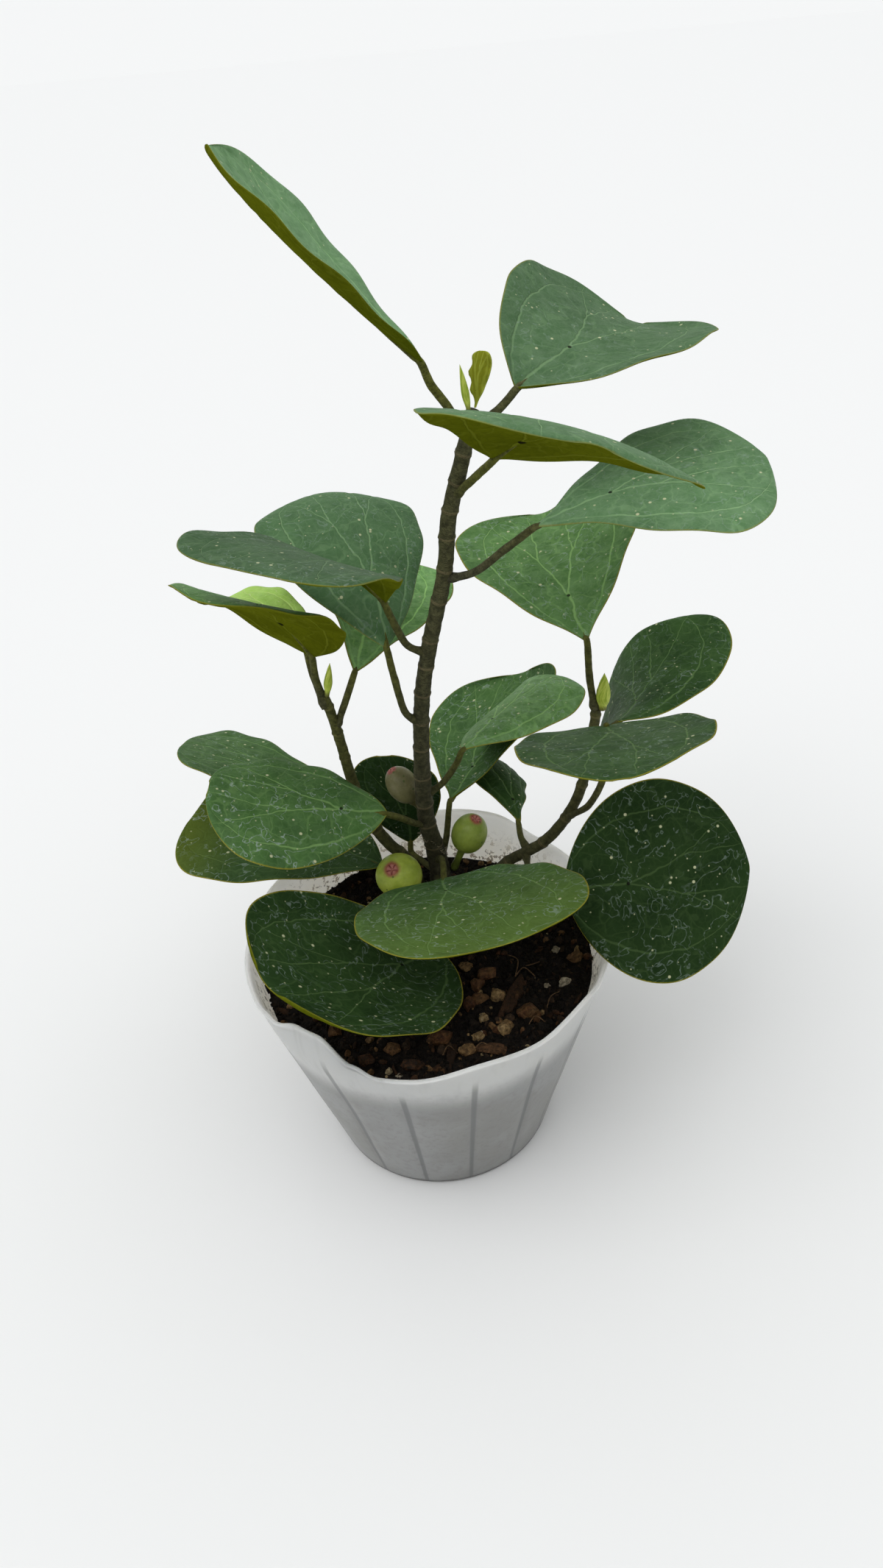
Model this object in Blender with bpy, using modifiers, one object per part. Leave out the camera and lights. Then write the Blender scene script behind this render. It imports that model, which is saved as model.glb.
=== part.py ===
"""A potted mistletoe fig: thick wedge leaves on a woody trunk and two branches, figs, and a soft nursery pot.

Metres, +Z up. The origin is the centre of the pot's base, on the surface that the pot stands on.
Sizes below are in millimetres and angles in degrees, and MM turns a length into metres.
"""

import math
from typing import NamedTuple

import bmesh
import bpy
from mathutils import Matrix, Vector, noise

MM = 0.001
CLEARANCE = 0.3
WELD = 0.001
SHARP_FROM = 50

# Pot
BASE_RADIUS = 38.0
RIM_RADIUS = 60.0
RIM_HEIGHT = 83.0
POT_WALL = 1.2
POT_SIDES = 48
BASE_ROUNDING = 1.2
RIB_COUNT = 16
RIB_PHASE = 11.25
RIB_SHARPNESS = 6
RIB_DEPTH = 0.5
RIB_FADE_AT_FOOT = 15.0
RIB_FADE_AT_TOP = 20.0
WAVE_START = 74.0
WALL_HEIGHTS = (1.2, 4.0, 20.0, 45.0, 66.0, WAVE_START)
WAVE_ROWS = 3

# The soft rim: (angle round the pot, height, how far it is pushed out)
RIM_WAVES = (
    (-180, 80, 0),
    (-158, 80, 0),
    (-144, 84, -1),
    (-131, 90, -3),
    (-124, 90.5, -3),
    (-115, 80, -2),
    (-107, 77.5, -0.5),
    (-98, 78.5, 0),
    (-76, 84.5, 0.5),
    (-59, 82, 0),
    (-43, 87.5, 0.5),
    (-22, 79, 0),
    (10, 81, 0),
    (45, 82, 0),
    (65, 85, 1),
    (105, 84, 0),
    (150, 82, 0),
)

# Growing medium
SOIL_LEVEL = 68.0
SOIL_RELIEF = 1.5
BROAD_LUMPS = 0.13
FINE_LUMPS = 0.3
SOIL_MOUND = 4.0
MOUND_SPREAD = 14.0
SOIL_RINGS = 7
STONE_COUNT = 18
STONE_SIZES = (2.5, 5.5)
STONE_SEED = 4
STONE_OFF_WALL = 9.0
STONE_OFF_STEMS = 12.0
STONE_STRETCH = (1.2, 1.0, 0.8)
STONE_ROUGHNESS = 0.35
STONE_LUMPS = 0.25
HOLE_BOTTOM = 56.0
HOLE_TOP = 88.0
HOLE_SIDES = 16
HOLE_CLEARANCE = 0.6

# Blades
BLADE_THICKNESS = 0.9
BLADE_ROWS = 10
BLADE_COLUMNS = 6

# Stems: (x, y, z, radius)
TRUNK = (
    (6, 34, 56.5, 3.8),
    (6, 34, 72, 3.8),
    (5, 33, 88, 3.2),
    (3, 30, 104, 2.9),
    (3, 28, 121, 2.7),
    (4, 26, 141, 2.55),
    (6, 23, 160, 2.4),
    (10, 21, 179, 2.3),
    (15, 19, 199, 2.2),
    (17, 17, 215, 2.15),
    (21, 15, 230, 2.1),
    (25, 13, 245, 1.8),
)
BRANCH_LEFT = (
    (-2, 33, 56.5, 2.1),
    (-2, 33, 74, 2.1),
    (-5, 32, 86, 2.0),
    (-11, 31, 95, 2.0),
    (-17, 31, 108, 1.9),
    (-20, 30, 123, 1.8),
    (-22, 25, 147, 1.6),
    (-24, 22, 161, 1.45),
)
BRANCH_RIGHT = (
    (24, 34, 56.5, 2.0),
    (24, 34, 67, 2.0),
    (25, 34, 74, 2.0),
    (31, 33, 81, 1.9),
    (42, 30, 90, 1.9),
    (50, 28, 102, 1.8),
    (55, 26, 117, 1.7),
    (58, 24, 139, 1.6),
    (58.5, 22, 148, 1.5),
)
STEM_RESOLUTION = 3
PETIOLE_RESOLUTION = 2
STEPS_BETWEEN_POINTS = 3
PETIOLE_RADIUS = 1.25
PETIOLE_END_RADIUS = 1.0
PETIOLE_GAP = 0.9


class Leaf(NamedTuple):
    """A blade and its petiole.

    base is where the blade starts, and heading, rise and roll turn it there: heading round the vertical,
    rise above the horizontal, roll about the midrib. arch bends the midrib down along its length, cup
    lifts the margins, twist turns the tip, and sweep bends the midrib to the side.
    wedge and blunt shape the outline: a large wedge narrows the base, and a small blunt squares the tip.
    petiole holds the points from the stem's centre outwards, and the blade's base follows them.
    """

    name: str
    stem: str
    petiole: tuple
    base: tuple
    heading: float
    rise: float
    roll: float
    length: float
    width: float
    wedge: float
    blunt: float
    arch: float
    cup: float
    twist: float
    sweep: float


LEAVES = (
    Leaf("a", "trunk", ((22, 14, 240), (19, 14, 246), (15, 14, 252)), (13.5, 14.5, 257.5),
         172, 40, -15, 67, 62, 0.78, 0.5, -15, 18, 8, -4),
    Leaf("b", "trunk", ((23, 14, 240), (31, 14, 244)), (36, 15, 249),
         40, 17, -19, 68, 63, 0.8, 0.45, 42, 30, 9, -14),
    Leaf("c", "trunk", ((19, 16, 222), (24, 9, 229)), (28, -1, 237),
         -60, 35, 24, 70, 69, 1.1, 0.47, 37, -14, 5, 17),
    Leaf("d", "trunk", ((15, 19, 197), (23, 15, 200), (31, 12, 207)), (38, 9, 214),
         7, 21, -1, 68, 61, 1.38, 0.6, 27, -6, -9, -8),
    Leaf("e", "trunk", ((9, 22, 172), (3, 20, 176), (0, 17, 184)), (-2, 13, 194),
         -126, 56, 10, 70, 65, 1.04, 0.25, 45, 3, -11, -22),
    Leaf("f", "trunk", ((4, 25, 147), (0, 22, 152), (-2, 18, 166)), (-3, 16, 178),
         101, 67, -29, 69, 60, 0.91, 0.45, 84, -16, -1, 29),
    Leaf("g", "trunk", ((3, 29, 115), (9, 29, 119), (14, 29, 126)), (16, 28, 132),
         53, 2, 16, 62, 58, 1.2, 0.55, 15, -42, 28, -28),
    Leaf("h", "trunk", ((3, 31, 101), (-1, 25, 107), (-5, 18, 115)), (-9, 12.5, 121.5),
         180, 12, 19, 56, 49, 0.78, 0.43, 3, -25, -17, 12),
    Leaf("i", "branch_left", ((-24, 22, 158), (-25.5, 21.5, 167)), (-25, 20.5, 175),
         -144, 65, -14, 59, 58, 0.74, 0.6, 48, 2, 1, -30),
    Leaf("j", "branch_left", ((-22, 25, 147), (-18, 23, 157)), (-14, 20, 168),
         78, 9, -27, 68, 61, 1.25, 0.26, 15, 35, -1, -16),
    Leaf("k", "branch_left", ((-24, 22, 156), (-27, 28, 165)), (-28, 33, 172),
         141, 41, -20, 44, 36, 0.76, 0.5, 70, 17, -6, 33),
    Leaf("l", "branch_left", ((-20, 30, 119), (-26, 38, 115), (-28, 52, 105)), (-31, 64.5, 98.5),
         174, 22, -1, 55, 54, 1.37, 0.4, 9, 1, -23, 6),
    Leaf("m", "branch_left", ((-7, 32, 89), (-10, 32, 86)), (-14, 32, 84),
         154, 14, -12, 68, 60, 0.75, 0.31, 2, 0, 25, -16),
    Leaf("n", "branch_right", ((58, 22, 147), (56, 20, 160)), (55, 18, 173),
         101, 22, 12, 68, 62, 1.08, 0.43, 24, 28, -1, 9),
    Leaf("o", "branch_right", ((58, 24, 135), (61, 25, 136)), (65, 26, 139),
         55, -18, 32, 69, 65, 0.86, 0.25, -42, -40, 16, -15),
    Leaf("p", "branch_right", ((50, 28, 102), (56, 20, 112), (60, 13, 130)), (59, 8, 150),
         -94, 29, -5, 66, 54, 0.64, 0.54, 13, 12, 0, 6),
    Leaf("q", "branch_right", ((36, 32, 84), (36, 18, 86), (37, 5, 92), (41, -3, 96)), (44.5, -5.5, 99),
         -4, 4, -44, 60, 64, 0.61, 0.6, 19, -3, -5, -5),
    Leaf("r", "trunk", ((5, 33, 84), (7, 24, 91)), (7, 13, 92),
         -95, 32, -11, 68, 66, 0.62, 0.29, 20, 12, -7, -37),
    Leaf("s", "trunk", ((5, 33, 77), (4, 20, 79), (3, 8, 77)), (2, -1, 75),
         -125, 18, 22, 68, 64, 0.64, 0.35, -7, 37, 9, 32),
    Leaf("t", "trunk", ((6, 33, 82), (9, 37, 90)), (11, 44, 100),
         68, -12, 8, 69, 57, 1.3, 0.34, -47, 33, 24, 19),
    Leaf("u", "branch_right", ((37, 32, 85), (35, 36, 88)), (35, 41, 90),
         95, 24, -16, 41, 28, 1.15, 0.26, 40, -36, -14, -2),
    Leaf("v", "trunk", ((6, 34, 76), (0, 43, 75), (-4, 49, 75)), (-4, 50, 79),
         96, 84, 3, 36, 30, 0.8, 0.4, 4, 6, 11, -18),
)


class Fig(NamedTuple):
    """A fig on its stalk: root is the stalk's foot and centre is the middle of the fruit."""

    name: str
    root: tuple
    centre: tuple
    diameter: float
    length: float


FIGS = (
    Fig("fig_1", (2, 34.5, 104), (-4, 36, 115), 10.5, 14),
    Fig("fig_2", (11, 34, 79), (17, 32, 95), 12.3, 15),
    Fig("fig_3", (-4.5, 28, 77), (-8, 21.4, 88), 15.6, 15),
)
FIG_STALK_RADIUS = 1.3
FIG_DIMPLE_DEPTH = 0.6
FIG_DIMPLE_SHARE = 0.22
FIG_ANGLES = range(72, -65, -17)
FIG_SHORTEST_NECK = 1.0
FIG_NECK_DROP = 1.5
FIG_SIDES = 16


class Bud(NamedTuple):
    """A pointed bud sheath, from its foot to its tip."""

    name: str
    foot: tuple
    tip: tuple
    radius: float


BUDS = (
    Bud("bud_top", (23.8, 12.6, 246.2), (22.3, 11.5, 257), 1.0),
    Bud("bud_left", (-22.6, 20.6, 162.6), (-20.5, 19.5, 173), 1.3),
    Bud("bud_right", (60.2, 20.6, 149.6), (60.2, 18.5, 162), 1.9),
)
BUD_SIDES = 12

# A bud from its tip down: (share of its radius, share of its height)
BUD_SHAPE = ((0, 1), (0.35, 0.85), (0.8, 0.58), (1, 0.33), (0.85, 0.12), (0.6, 0), (0, 0))

YOUNG_LEAF = Leaf("young", "trunk", (), (25.8, 13.3, 245.6), 60, 82, -180, 13.5, 6.5, 1.1, 0.4, -15, 30, 10, -6)

# Colours in linear light, with roughness
FINISHES = {
    "pot_plastic": ((0.80, 0.80, 0.77), 0.45),
    "growing_medium": ((0.035, 0.027, 0.022), 0.95),
    "bark": ((0.16, 0.13, 0.095), 0.85),
    "leaf_grey_green": ((0.13, 0.21, 0.15), 0.42),
    "leaf_green": ((0.055, 0.125, 0.05), 0.38),
    "young_leaf": ((0.30, 0.42, 0.12), 0.45),
    "fig_skin": ((0.33, 0.38, 0.13), 0.45),
}
GREY_GREEN_LEAVES = "abcdefi"
YOUNG_LEAVES = "k"


def clear_scene():
    for obj in list(bpy.data.objects):
        bpy.data.objects.remove(obj, do_unlink=True)


def new_collection(name, parent):
    made = bpy.data.collections.new(name)
    parent.children.link(made)
    return made


def make_material(name, colour, roughness):
    material = bpy.data.materials.new(name)
    material.use_nodes = True
    shader = material.node_tree.nodes["Principled BSDF"]
    shader.inputs["Base Color"].default_value = (*colour, 1)
    shader.inputs["Roughness"].default_value = roughness
    shader.inputs["Metallic"].default_value = 0
    material.diffuse_color = (*colour, 1)
    return material


def to_vector(point):
    return Vector(point[:3]) * MM


def add_object(name, mesh, material, collection):
    """Links a mesh under its own name, smooth except at sharp edges."""
    if material is not None:
        mesh.materials.clear()
        mesh.materials.append(material)
    mesh.shade_smooth()
    mesh.set_sharp_from_angle(angle=math.radians(SHARP_FROM))
    obj = bpy.data.objects.new(name, mesh)
    collection.objects.link(obj)
    return obj


def mesh_from_bmesh(name, bm):
    mesh = bpy.data.meshes.new(name)
    bm.to_mesh(mesh)
    bm.free()
    return mesh


def evaluated_mesh(obj):
    """The object's mesh with its modifiers applied and its place kept, welded into one surface."""
    graph = bpy.context.evaluated_depsgraph_get()
    mesh = bpy.data.meshes.new_from_object(obj.evaluated_get(graph))
    mesh.transform(obj.matrix_world)
    bm = bmesh.new()
    bm.from_mesh(mesh)
    bmesh.ops.remove_doubles(bm, verts=bm.verts, dist=WELD * MM)
    bm.to_mesh(mesh)
    bm.free()
    return mesh


def tube(name, points, resolution, collection):
    """A round stem through hand-set (x, y, z, radius) points, closed at both ends."""
    curve = bpy.data.curves.new(name, "CURVE")
    curve.dimensions = "3D"
    curve.bevel_depth = MM
    curve.bevel_resolution = resolution
    curve.resolution_u = STEPS_BETWEEN_POINTS
    curve.use_fill_caps = True
    spline = curve.splines.new("BEZIER")
    spline.bezier_points.add(len(points) - 1)
    for knot, point in zip(spline.bezier_points, points):
        knot.co = to_vector(point)
        knot.radius = point[3]
        knot.handle_left_type = knot.handle_right_type = "AUTO"
    guide = bpy.data.objects.new(name + "_guide", curve)
    collection.objects.link(guide)
    bpy.context.view_layer.update()
    solid = bpy.data.objects.new(name + "_tube", evaluated_mesh(guide))
    collection.objects.link(solid)
    bpy.data.objects.remove(guide, do_unlink=True)
    return solid


def combined(name, pieces, operation, material, collection):
    """Joins the later pieces to the first, or cuts them from it, and removes them all."""
    first, others = pieces[0], pieces[1:]
    helpers = new_collection(name + "_helpers", collection)
    for piece in others:
        helpers.objects.link(piece)
    if others:
        boolean = first.modifiers.new(operation.title(), "BOOLEAN")
        boolean.operation = operation
        boolean.operand_type = "COLLECTION"
        boolean.collection = helpers
    bpy.context.view_layer.update()
    mesh = evaluated_mesh(first)
    for piece in pieces:
        bpy.data.objects.remove(piece, do_unlink=True)
    bpy.data.collections.remove(helpers)
    return add_object(name, mesh, material, collection)


def half_width(leaf, s):
    """Half the blade's width at s, from 0 at the base to 1 at the tip: widest at wedge / (wedge + blunt)."""
    widest = leaf.wedge / (leaf.wedge + leaf.blunt)
    peak = widest**leaf.wedge * (1 - widest) ** leaf.blunt
    return leaf.width / 2 * s**leaf.wedge * (1 - s) ** leaf.blunt / peak


def blade_axes(leaf):
    """The directions forward along the midrib, to the right, and out of the upper face, at the base."""
    heading, rise, roll = (math.radians(v) for v in (leaf.heading, leaf.rise, leaf.roll))
    forward = Vector(
        (math.cos(rise) * math.cos(heading), math.cos(rise) * math.sin(heading), math.sin(rise))
    )
    right = Vector((math.sin(heading), -math.cos(heading), 0))
    turn = Matrix.Rotation(-roll, 3, forward)
    return forward, turn @ right, turn @ right.cross(forward)


def blade_point(leaf, axes, s, t):
    """A point of the blade's middle surface: s along it from 0 to 1, t across it from -1 to 1."""
    forward, right, upper = axes
    arch = math.radians(leaf.arch) or 1e-6
    bend = arch * s
    along = leaf.length * math.sin(bend) / arch
    down = leaf.length * (1 - math.cos(bend)) / arch
    aside = leaf.length * s * s * math.sin(math.radians(leaf.sweep)) / 2
    middle = along * forward - down * upper + aside * right
    out = math.sin(bend) * forward + math.cos(bend) * upper
    twist = math.radians(leaf.twist) * s
    across = math.cos(twist) * right + math.sin(twist) * out
    out = math.cos(twist) * out - math.sin(twist) * right
    cup = math.radians(leaf.cup) or 1e-6
    reach = half_width(leaf, s) / cup
    middle += reach * (math.sin(cup * t) * across + (1 - math.cos(cup * t)) * out)
    return to_vector(leaf.base) + middle * MM


def make_blade(leaf, name, material, collection):
    """A grid bent into the blade, given its thickness by Solidify."""
    axes = blade_axes(leaf)
    bm = bmesh.new()
    bmesh.ops.create_grid(bm, x_segments=BLADE_ROWS, y_segments=BLADE_COLUMNS, size=1)
    for vert in bm.verts:
        s = 0.5 - 0.5 * math.cos(math.pi * (vert.co.x + 1) / 2)
        vert.co = blade_point(leaf, axes, min(max(s, 0), 1), vert.co.y)
    bmesh.ops.remove_doubles(bm, verts=bm.verts, dist=WELD * MM)
    bmesh.ops.triangulate(bm, faces=bm.faces)
    bmesh.ops.recalc_face_normals(bm, faces=bm.faces)
    obj = add_object(name, mesh_from_bmesh(name, bm), material, collection)
    solidify = obj.modifiers.new("Thickness", "SOLIDIFY")
    solidify.thickness = BLADE_THICKNESS * MM
    solidify.offset = 0
    return obj


def petiole_points(leaf):
    """The petiole's points with their radii, ending just short of the blade."""
    last = Vector(leaf.petiole[-1])
    base = Vector(leaf.base)
    end = base - (base - last).normalized() * PETIOLE_GAP
    return [*((*point, PETIOLE_RADIUS) for point in leaf.petiole), (*end, PETIOLE_END_RADIUS)]


def make_stem(name, points, material, collection):
    """A woody stem with the petioles that grow from it, fused."""
    pieces = [tube(name, points, STEM_RESOLUTION, collection)]
    for leaf in LEAVES:
        if leaf.stem == name:
            pieces.append(tube("petiole_" + leaf.name, petiole_points(leaf), PETIOLE_RESOLUTION, collection))
    return combined(name, pieces, "UNION", material, collection)


def turned(name, profile, sides, foot, direction, material, collection):
    """A closed turned body: profile is (radius, height) from its top down, set up along direction at foot."""
    bm = bmesh.new()
    verts = [bm.verts.new((radius * MM, 0, height * MM)) for radius, height in profile]
    for upper, lower in zip(verts, verts[1:]):
        bm.edges.new((upper, lower))
    guide = bpy.data.objects.new(name + "_profile", mesh_from_bmesh(name, bm))
    collection.objects.link(guide)
    screw = guide.modifiers.new("Turn", "SCREW")
    screw.steps = screw.render_steps = sides
    screw.use_merge_vertices = True
    screw.merge_threshold = WELD * MM
    guide.rotation_mode = "QUATERNION"
    guide.rotation_quaternion = Vector(direction).to_track_quat("Z", "Y")
    guide.location = to_vector(foot)
    bpy.context.view_layer.update()
    mesh = evaluated_mesh(guide)
    bpy.data.objects.remove(guide, do_unlink=True)
    return add_object(name, mesh, material, collection)


def fig_profile(fig):
    """From the dimple at the top, over the round fruit, down its neck to the stalk's foot."""
    reach = (Vector(fig.centre) - Vector(fig.root)).length
    radius, half = fig.diameter / 2, fig.length / 2
    brim = reach + half * math.sin(math.radians(FIG_ANGLES[0])) + FIG_DIMPLE_DEPTH / 4
    profile = [(0, brim - FIG_DIMPLE_DEPTH), (FIG_DIMPLE_SHARE * radius, brim)]
    for degrees in FIG_ANGLES:
        angle = math.radians(degrees)
        profile.append((radius * math.cos(angle), reach + half * math.sin(angle)))
    neck = max(reach - half - FIG_NECK_DROP, FIG_SHORTEST_NECK)
    profile += [(FIG_STALK_RADIUS, neck), (FIG_STALK_RADIUS, 0), (0, 0)]
    return profile


def bud_profile(bud):
    """A slim pointed sheath, fullest a third of the way up."""
    height = (Vector(bud.tip) - Vector(bud.foot)).length
    return [(bud.radius * radius, height * level) for radius, level in BUD_SHAPE]


def rim_at(angle):
    """The rim's height and push-out at an angle round the pot, eased between the points of RIM_WAVES."""
    ring = [*RIM_WAVES, (RIM_WAVES[0][0] + 360, *RIM_WAVES[0][1:])]
    for (start, z0, out0), (end, z1, out1) in zip(ring, ring[1:]):
        if start <= angle <= end:
            share = (1 - math.cos(math.pi * (angle - start) / (end - start))) / 2
            return z0 + (z1 - z0) * share, out0 + (out1 - out0) * share
    raise ValueError("the rim is given from -180 to 180 degrees")


def wall_radius(z):
    return BASE_RADIUS + (RIM_RADIUS - BASE_RADIUS) * z / RIM_HEIGHT


def rib(angle, z):
    """How far a shallow rib sinks into the wall, fading out towards the foot and the rim."""
    lobe = max(0, math.cos(RIB_COUNT * math.radians(angle + RIB_PHASE))) ** RIB_SHARPNESS
    fade = min(1, z / RIB_FADE_AT_FOOT) * max(0, min(1, (WAVE_START - z) / RIB_FADE_AT_TOP))
    return RIB_DEPTH * lobe * fade


def pot_ring(z, angle):
    """A point of the pot's outside, below the waved rim."""
    radius = wall_radius(z) - rib(angle, z)
    return Vector((radius * math.cos(math.radians(angle)), radius * math.sin(math.radians(angle)), z))


def rim_point(angle, share):
    """A point of the waved band: share 0 at its start and 1 at the rim, where the lip turns out."""
    top, push = rim_at(angle)
    z = WAVE_START + (top - WAVE_START) * share
    radius = wall_radius(z) + push * share * share
    return Vector((radius * math.cos(math.radians(angle)), radius * math.sin(math.radians(angle)), z))


def make_pot(material, collection):
    """The soft shell: rings of points from the base up to the waved rim, thickened inwards.

    The points stand half a side off, so that every rib has a row of them at its middle.
    """
    angles = [-180 + 360 * (side + 0.5) / POT_SIDES for side in range(POT_SIDES)]
    rings = [[pot_ring(0, a) * (1 - BASE_ROUNDING / BASE_RADIUS) for a in angles]]
    rings += [[pot_ring(z, a) for a in angles] for z in WALL_HEIGHTS]
    rings += [[rim_point(a, row / WAVE_ROWS) for a in angles] for row in range(1, WAVE_ROWS + 1)]
    bm = bmesh.new()
    loops = [[bm.verts.new(point * MM) for point in ring] for ring in rings]
    middle = bm.verts.new((0, 0, 0))
    first = loops[0]
    for side in range(POT_SIDES):
        bm.faces.new((middle, first[(side + 1) % POT_SIDES], first[side]))
    for lower, upper in zip(loops, loops[1:]):
        for side in range(POT_SIDES):
            after = (side + 1) % POT_SIDES
            bm.faces.new((lower[side], lower[after], upper[after], upper[side]))
    bmesh.ops.triangulate(bm, faces=bm.faces)
    obj = add_object("pot", mesh_from_bmesh("pot", bm), material, collection)
    solidify = obj.modifiers.new("Wall", "SOLIDIFY")
    solidify.thickness = POT_WALL * MM
    solidify.offset = -1
    return obj


def soil_height(x, y):
    """The top of the growing medium: lumpy, and mounded round the trunk's foot."""
    foot = TRUNK[0]
    away = math.hypot(x - foot[0], y - foot[1])
    lumps = noise.noise(Vector((x, y, 0)) * BROAD_LUMPS) + 0.5 * noise.noise(Vector((x, y, 7)) * FINE_LUMPS)
    return SOIL_LEVEL + SOIL_RELIEF * lumps + SOIL_MOUND * math.exp(-((away / MOUND_SPREAD) ** 2))


def soil_body(collection):
    """The filling: a turned plug with a lumpy top, clear of the pot all round."""
    inset = POT_WALL + RIB_DEPTH + CLEARANCE
    floor = POT_WALL + CLEARANCE
    angles = [360 * side / POT_SIDES for side in range(POT_SIDES)]

    def ring(radius, height):
        points = []
        for angle in angles:
            x, y = radius * math.cos(math.radians(angle)), radius * math.sin(math.radians(angle))
            points.append(Vector((x, y, soil_height(x, y) if height is None else height)))
        return points

    top_radius = wall_radius(SOIL_LEVEL - SOIL_RELIEF) - inset
    rings = [ring(wall_radius(floor) - inset, floor)]
    rings += [ring(top_radius * (1 - step / SOIL_RINGS), None) for step in range(SOIL_RINGS)]
    bm = bmesh.new()
    loops = [[bm.verts.new(point * MM) for point in points] for points in rings]
    bottom = bm.verts.new((0, 0, floor * MM))
    top = bm.verts.new((0, 0, soil_height(0, 0) * MM))
    for side in range(POT_SIDES):
        after = (side + 1) % POT_SIDES
        bm.faces.new((bottom, loops[0][after], loops[0][side]))
        bm.faces.new((top, loops[-1][side], loops[-1][after]))
        for lower, upper in zip(loops, loops[1:]):
            bm.faces.new((lower[side], lower[after], upper[after], upper[side]))
    bmesh.ops.triangulate(bm, faces=bm.faces)
    obj = bpy.data.objects.new("soil_plug", mesh_from_bmesh("soil_plug", bm))
    collection.objects.link(obj)
    return obj


def stone_place(index):
    """Where a stone lies and how large it is: the first seeded draw that is off the stems and the wall."""
    reach = wall_radius(SOIL_LEVEL) - STONE_OFF_WALL
    smallest, largest = STONE_SIZES
    for attempt in range(1000):
        draw = noise.noise_vector(Vector((index * 3.7 + attempt * 0.91, STONE_SEED, 0.5))) * 1.6
        x, y = draw.x * RIM_RADIUS, draw.y * RIM_RADIUS
        off_stems = min(math.hypot(x - stem[0][0], y - stem[0][1]) for stem in STEMS.values())
        if math.hypot(x, y) < reach and off_stems > STONE_OFF_STEMS:
            return x, y, smallest + (largest - smallest) * abs(draw.z) % 1
    raise ValueError("no draw is clear of the stems and the wall")


def stone(index, collection):
    """A lumpy stone half sunk in the medium."""
    x, y, size = stone_place(index)
    bm = bmesh.new()
    bmesh.ops.create_icosphere(bm, subdivisions=1, radius=size * MM)
    for vert in bm.verts:
        push = 1 + STONE_ROUGHNESS * noise.noise(vert.co / MM * STONE_LUMPS + Vector((index, 0, 0)))
        vert.co = Vector([coordinate * stretch for coordinate, stretch in zip(vert.co, STONE_STRETCH)]) * push
    bmesh.ops.rotate(bm, verts=bm.verts, matrix=Matrix.Rotation(index * 1.3, 3, "Z"))
    bmesh.ops.translate(bm, verts=bm.verts, vec=Vector((x, y, soil_height(x, y) + size * 0.1)) * MM)
    obj = bpy.data.objects.new("stone", mesh_from_bmesh("stone", bm))
    collection.objects.link(obj)
    return obj


def stem_hole(points, collection):
    """A plain round hole that a stem stands in."""
    x, y, _, radius = points[0]
    bm = bmesh.new()
    bmesh.ops.create_cone(
        bm,
        cap_ends=True,
        segments=HOLE_SIDES,
        radius1=(radius + HOLE_CLEARANCE) * MM,
        radius2=(radius + HOLE_CLEARANCE) * MM,
        depth=(HOLE_TOP - HOLE_BOTTOM) * MM,
    )
    bmesh.ops.translate(bm, verts=bm.verts, vec=Vector((x, y, (HOLE_BOTTOM + HOLE_TOP) / 2)) * MM)
    obj = bpy.data.objects.new("hole", mesh_from_bmesh("hole", bm))
    collection.objects.link(obj)
    return obj


def make_soil(material, collection):
    """The medium with its stones fused in and a hole for each stem."""
    pieces = [soil_body(collection)] + [stone(index, collection) for index in range(STONE_COUNT)]
    filled = combined("soil_filled", pieces, "UNION", None, collection)
    holes = [stem_hole(points, collection) for points in STEMS.values()]
    return combined("soil", [filled, *holes], "DIFFERENCE", material, collection)


def blade_finish(name):
    if name in YOUNG_LEAVES:
        return "young_leaf"
    return "leaf_grey_green" if name in GREY_GREEN_LEAVES else "leaf_green"


STEMS = {"trunk": TRUNK, "branch_left": BRANCH_LEFT, "branch_right": BRANCH_RIGHT}


def main():
    clear_scene()
    finishes = {name: make_material(name, *look) for name, look in FINISHES.items()}
    plant = new_collection("potted_mistletoe_fig", bpy.context.scene.collection)
    make_pot(finishes["pot_plastic"], plant)
    make_soil(finishes["growing_medium"], plant)
    for name, points in STEMS.items():
        make_stem(name, points, finishes["bark"], plant)
    for leaf in LEAVES:
        make_blade(leaf, "leaf_" + leaf.name, finishes[blade_finish(leaf.name)], plant)
    make_blade(YOUNG_LEAF, "leaf_young", finishes["young_leaf"], plant)
    for fig in FIGS:
        axis = Vector(fig.centre) - Vector(fig.root)
        turned(fig.name, fig_profile(fig), FIG_SIDES, fig.root, axis, finishes["fig_skin"], plant)
    for bud in BUDS:
        axis = Vector(bud.tip) - Vector(bud.foot)
        turned(bud.name, bud_profile(bud), BUD_SIDES, bud.foot, axis, finishes["young_leaf"], plant)


main()
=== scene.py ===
# %% [markdown]
# A potted mistletoe fig.
# This notebook dresses a small fig plant: thick leathery leaves on a woody trunk and two side branches,
# three figs, and a soft white nursery pot filled with dark chunky medium. The plain solids come from the
# frame, and each one is replaced here by a finer piece of the same form.

# %% Load the frame
import math
from typing import NamedTuple

import bmesh
import bpy
import numpy as np
from mathutils import Matrix, Vector, noise


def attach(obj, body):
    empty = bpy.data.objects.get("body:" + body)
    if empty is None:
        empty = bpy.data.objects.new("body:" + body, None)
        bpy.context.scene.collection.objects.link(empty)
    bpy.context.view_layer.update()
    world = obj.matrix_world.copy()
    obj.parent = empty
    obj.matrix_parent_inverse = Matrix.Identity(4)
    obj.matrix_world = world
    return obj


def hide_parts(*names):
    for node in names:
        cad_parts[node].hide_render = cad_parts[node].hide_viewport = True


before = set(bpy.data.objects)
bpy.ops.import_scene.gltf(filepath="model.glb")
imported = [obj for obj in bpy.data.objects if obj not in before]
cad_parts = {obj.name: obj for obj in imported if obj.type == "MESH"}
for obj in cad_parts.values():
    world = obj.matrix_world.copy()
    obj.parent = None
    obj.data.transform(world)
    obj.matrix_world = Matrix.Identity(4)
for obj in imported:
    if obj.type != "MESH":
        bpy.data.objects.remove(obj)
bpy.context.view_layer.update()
MM = 0.001
print("nodes in the frame:", len(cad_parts))

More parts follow.
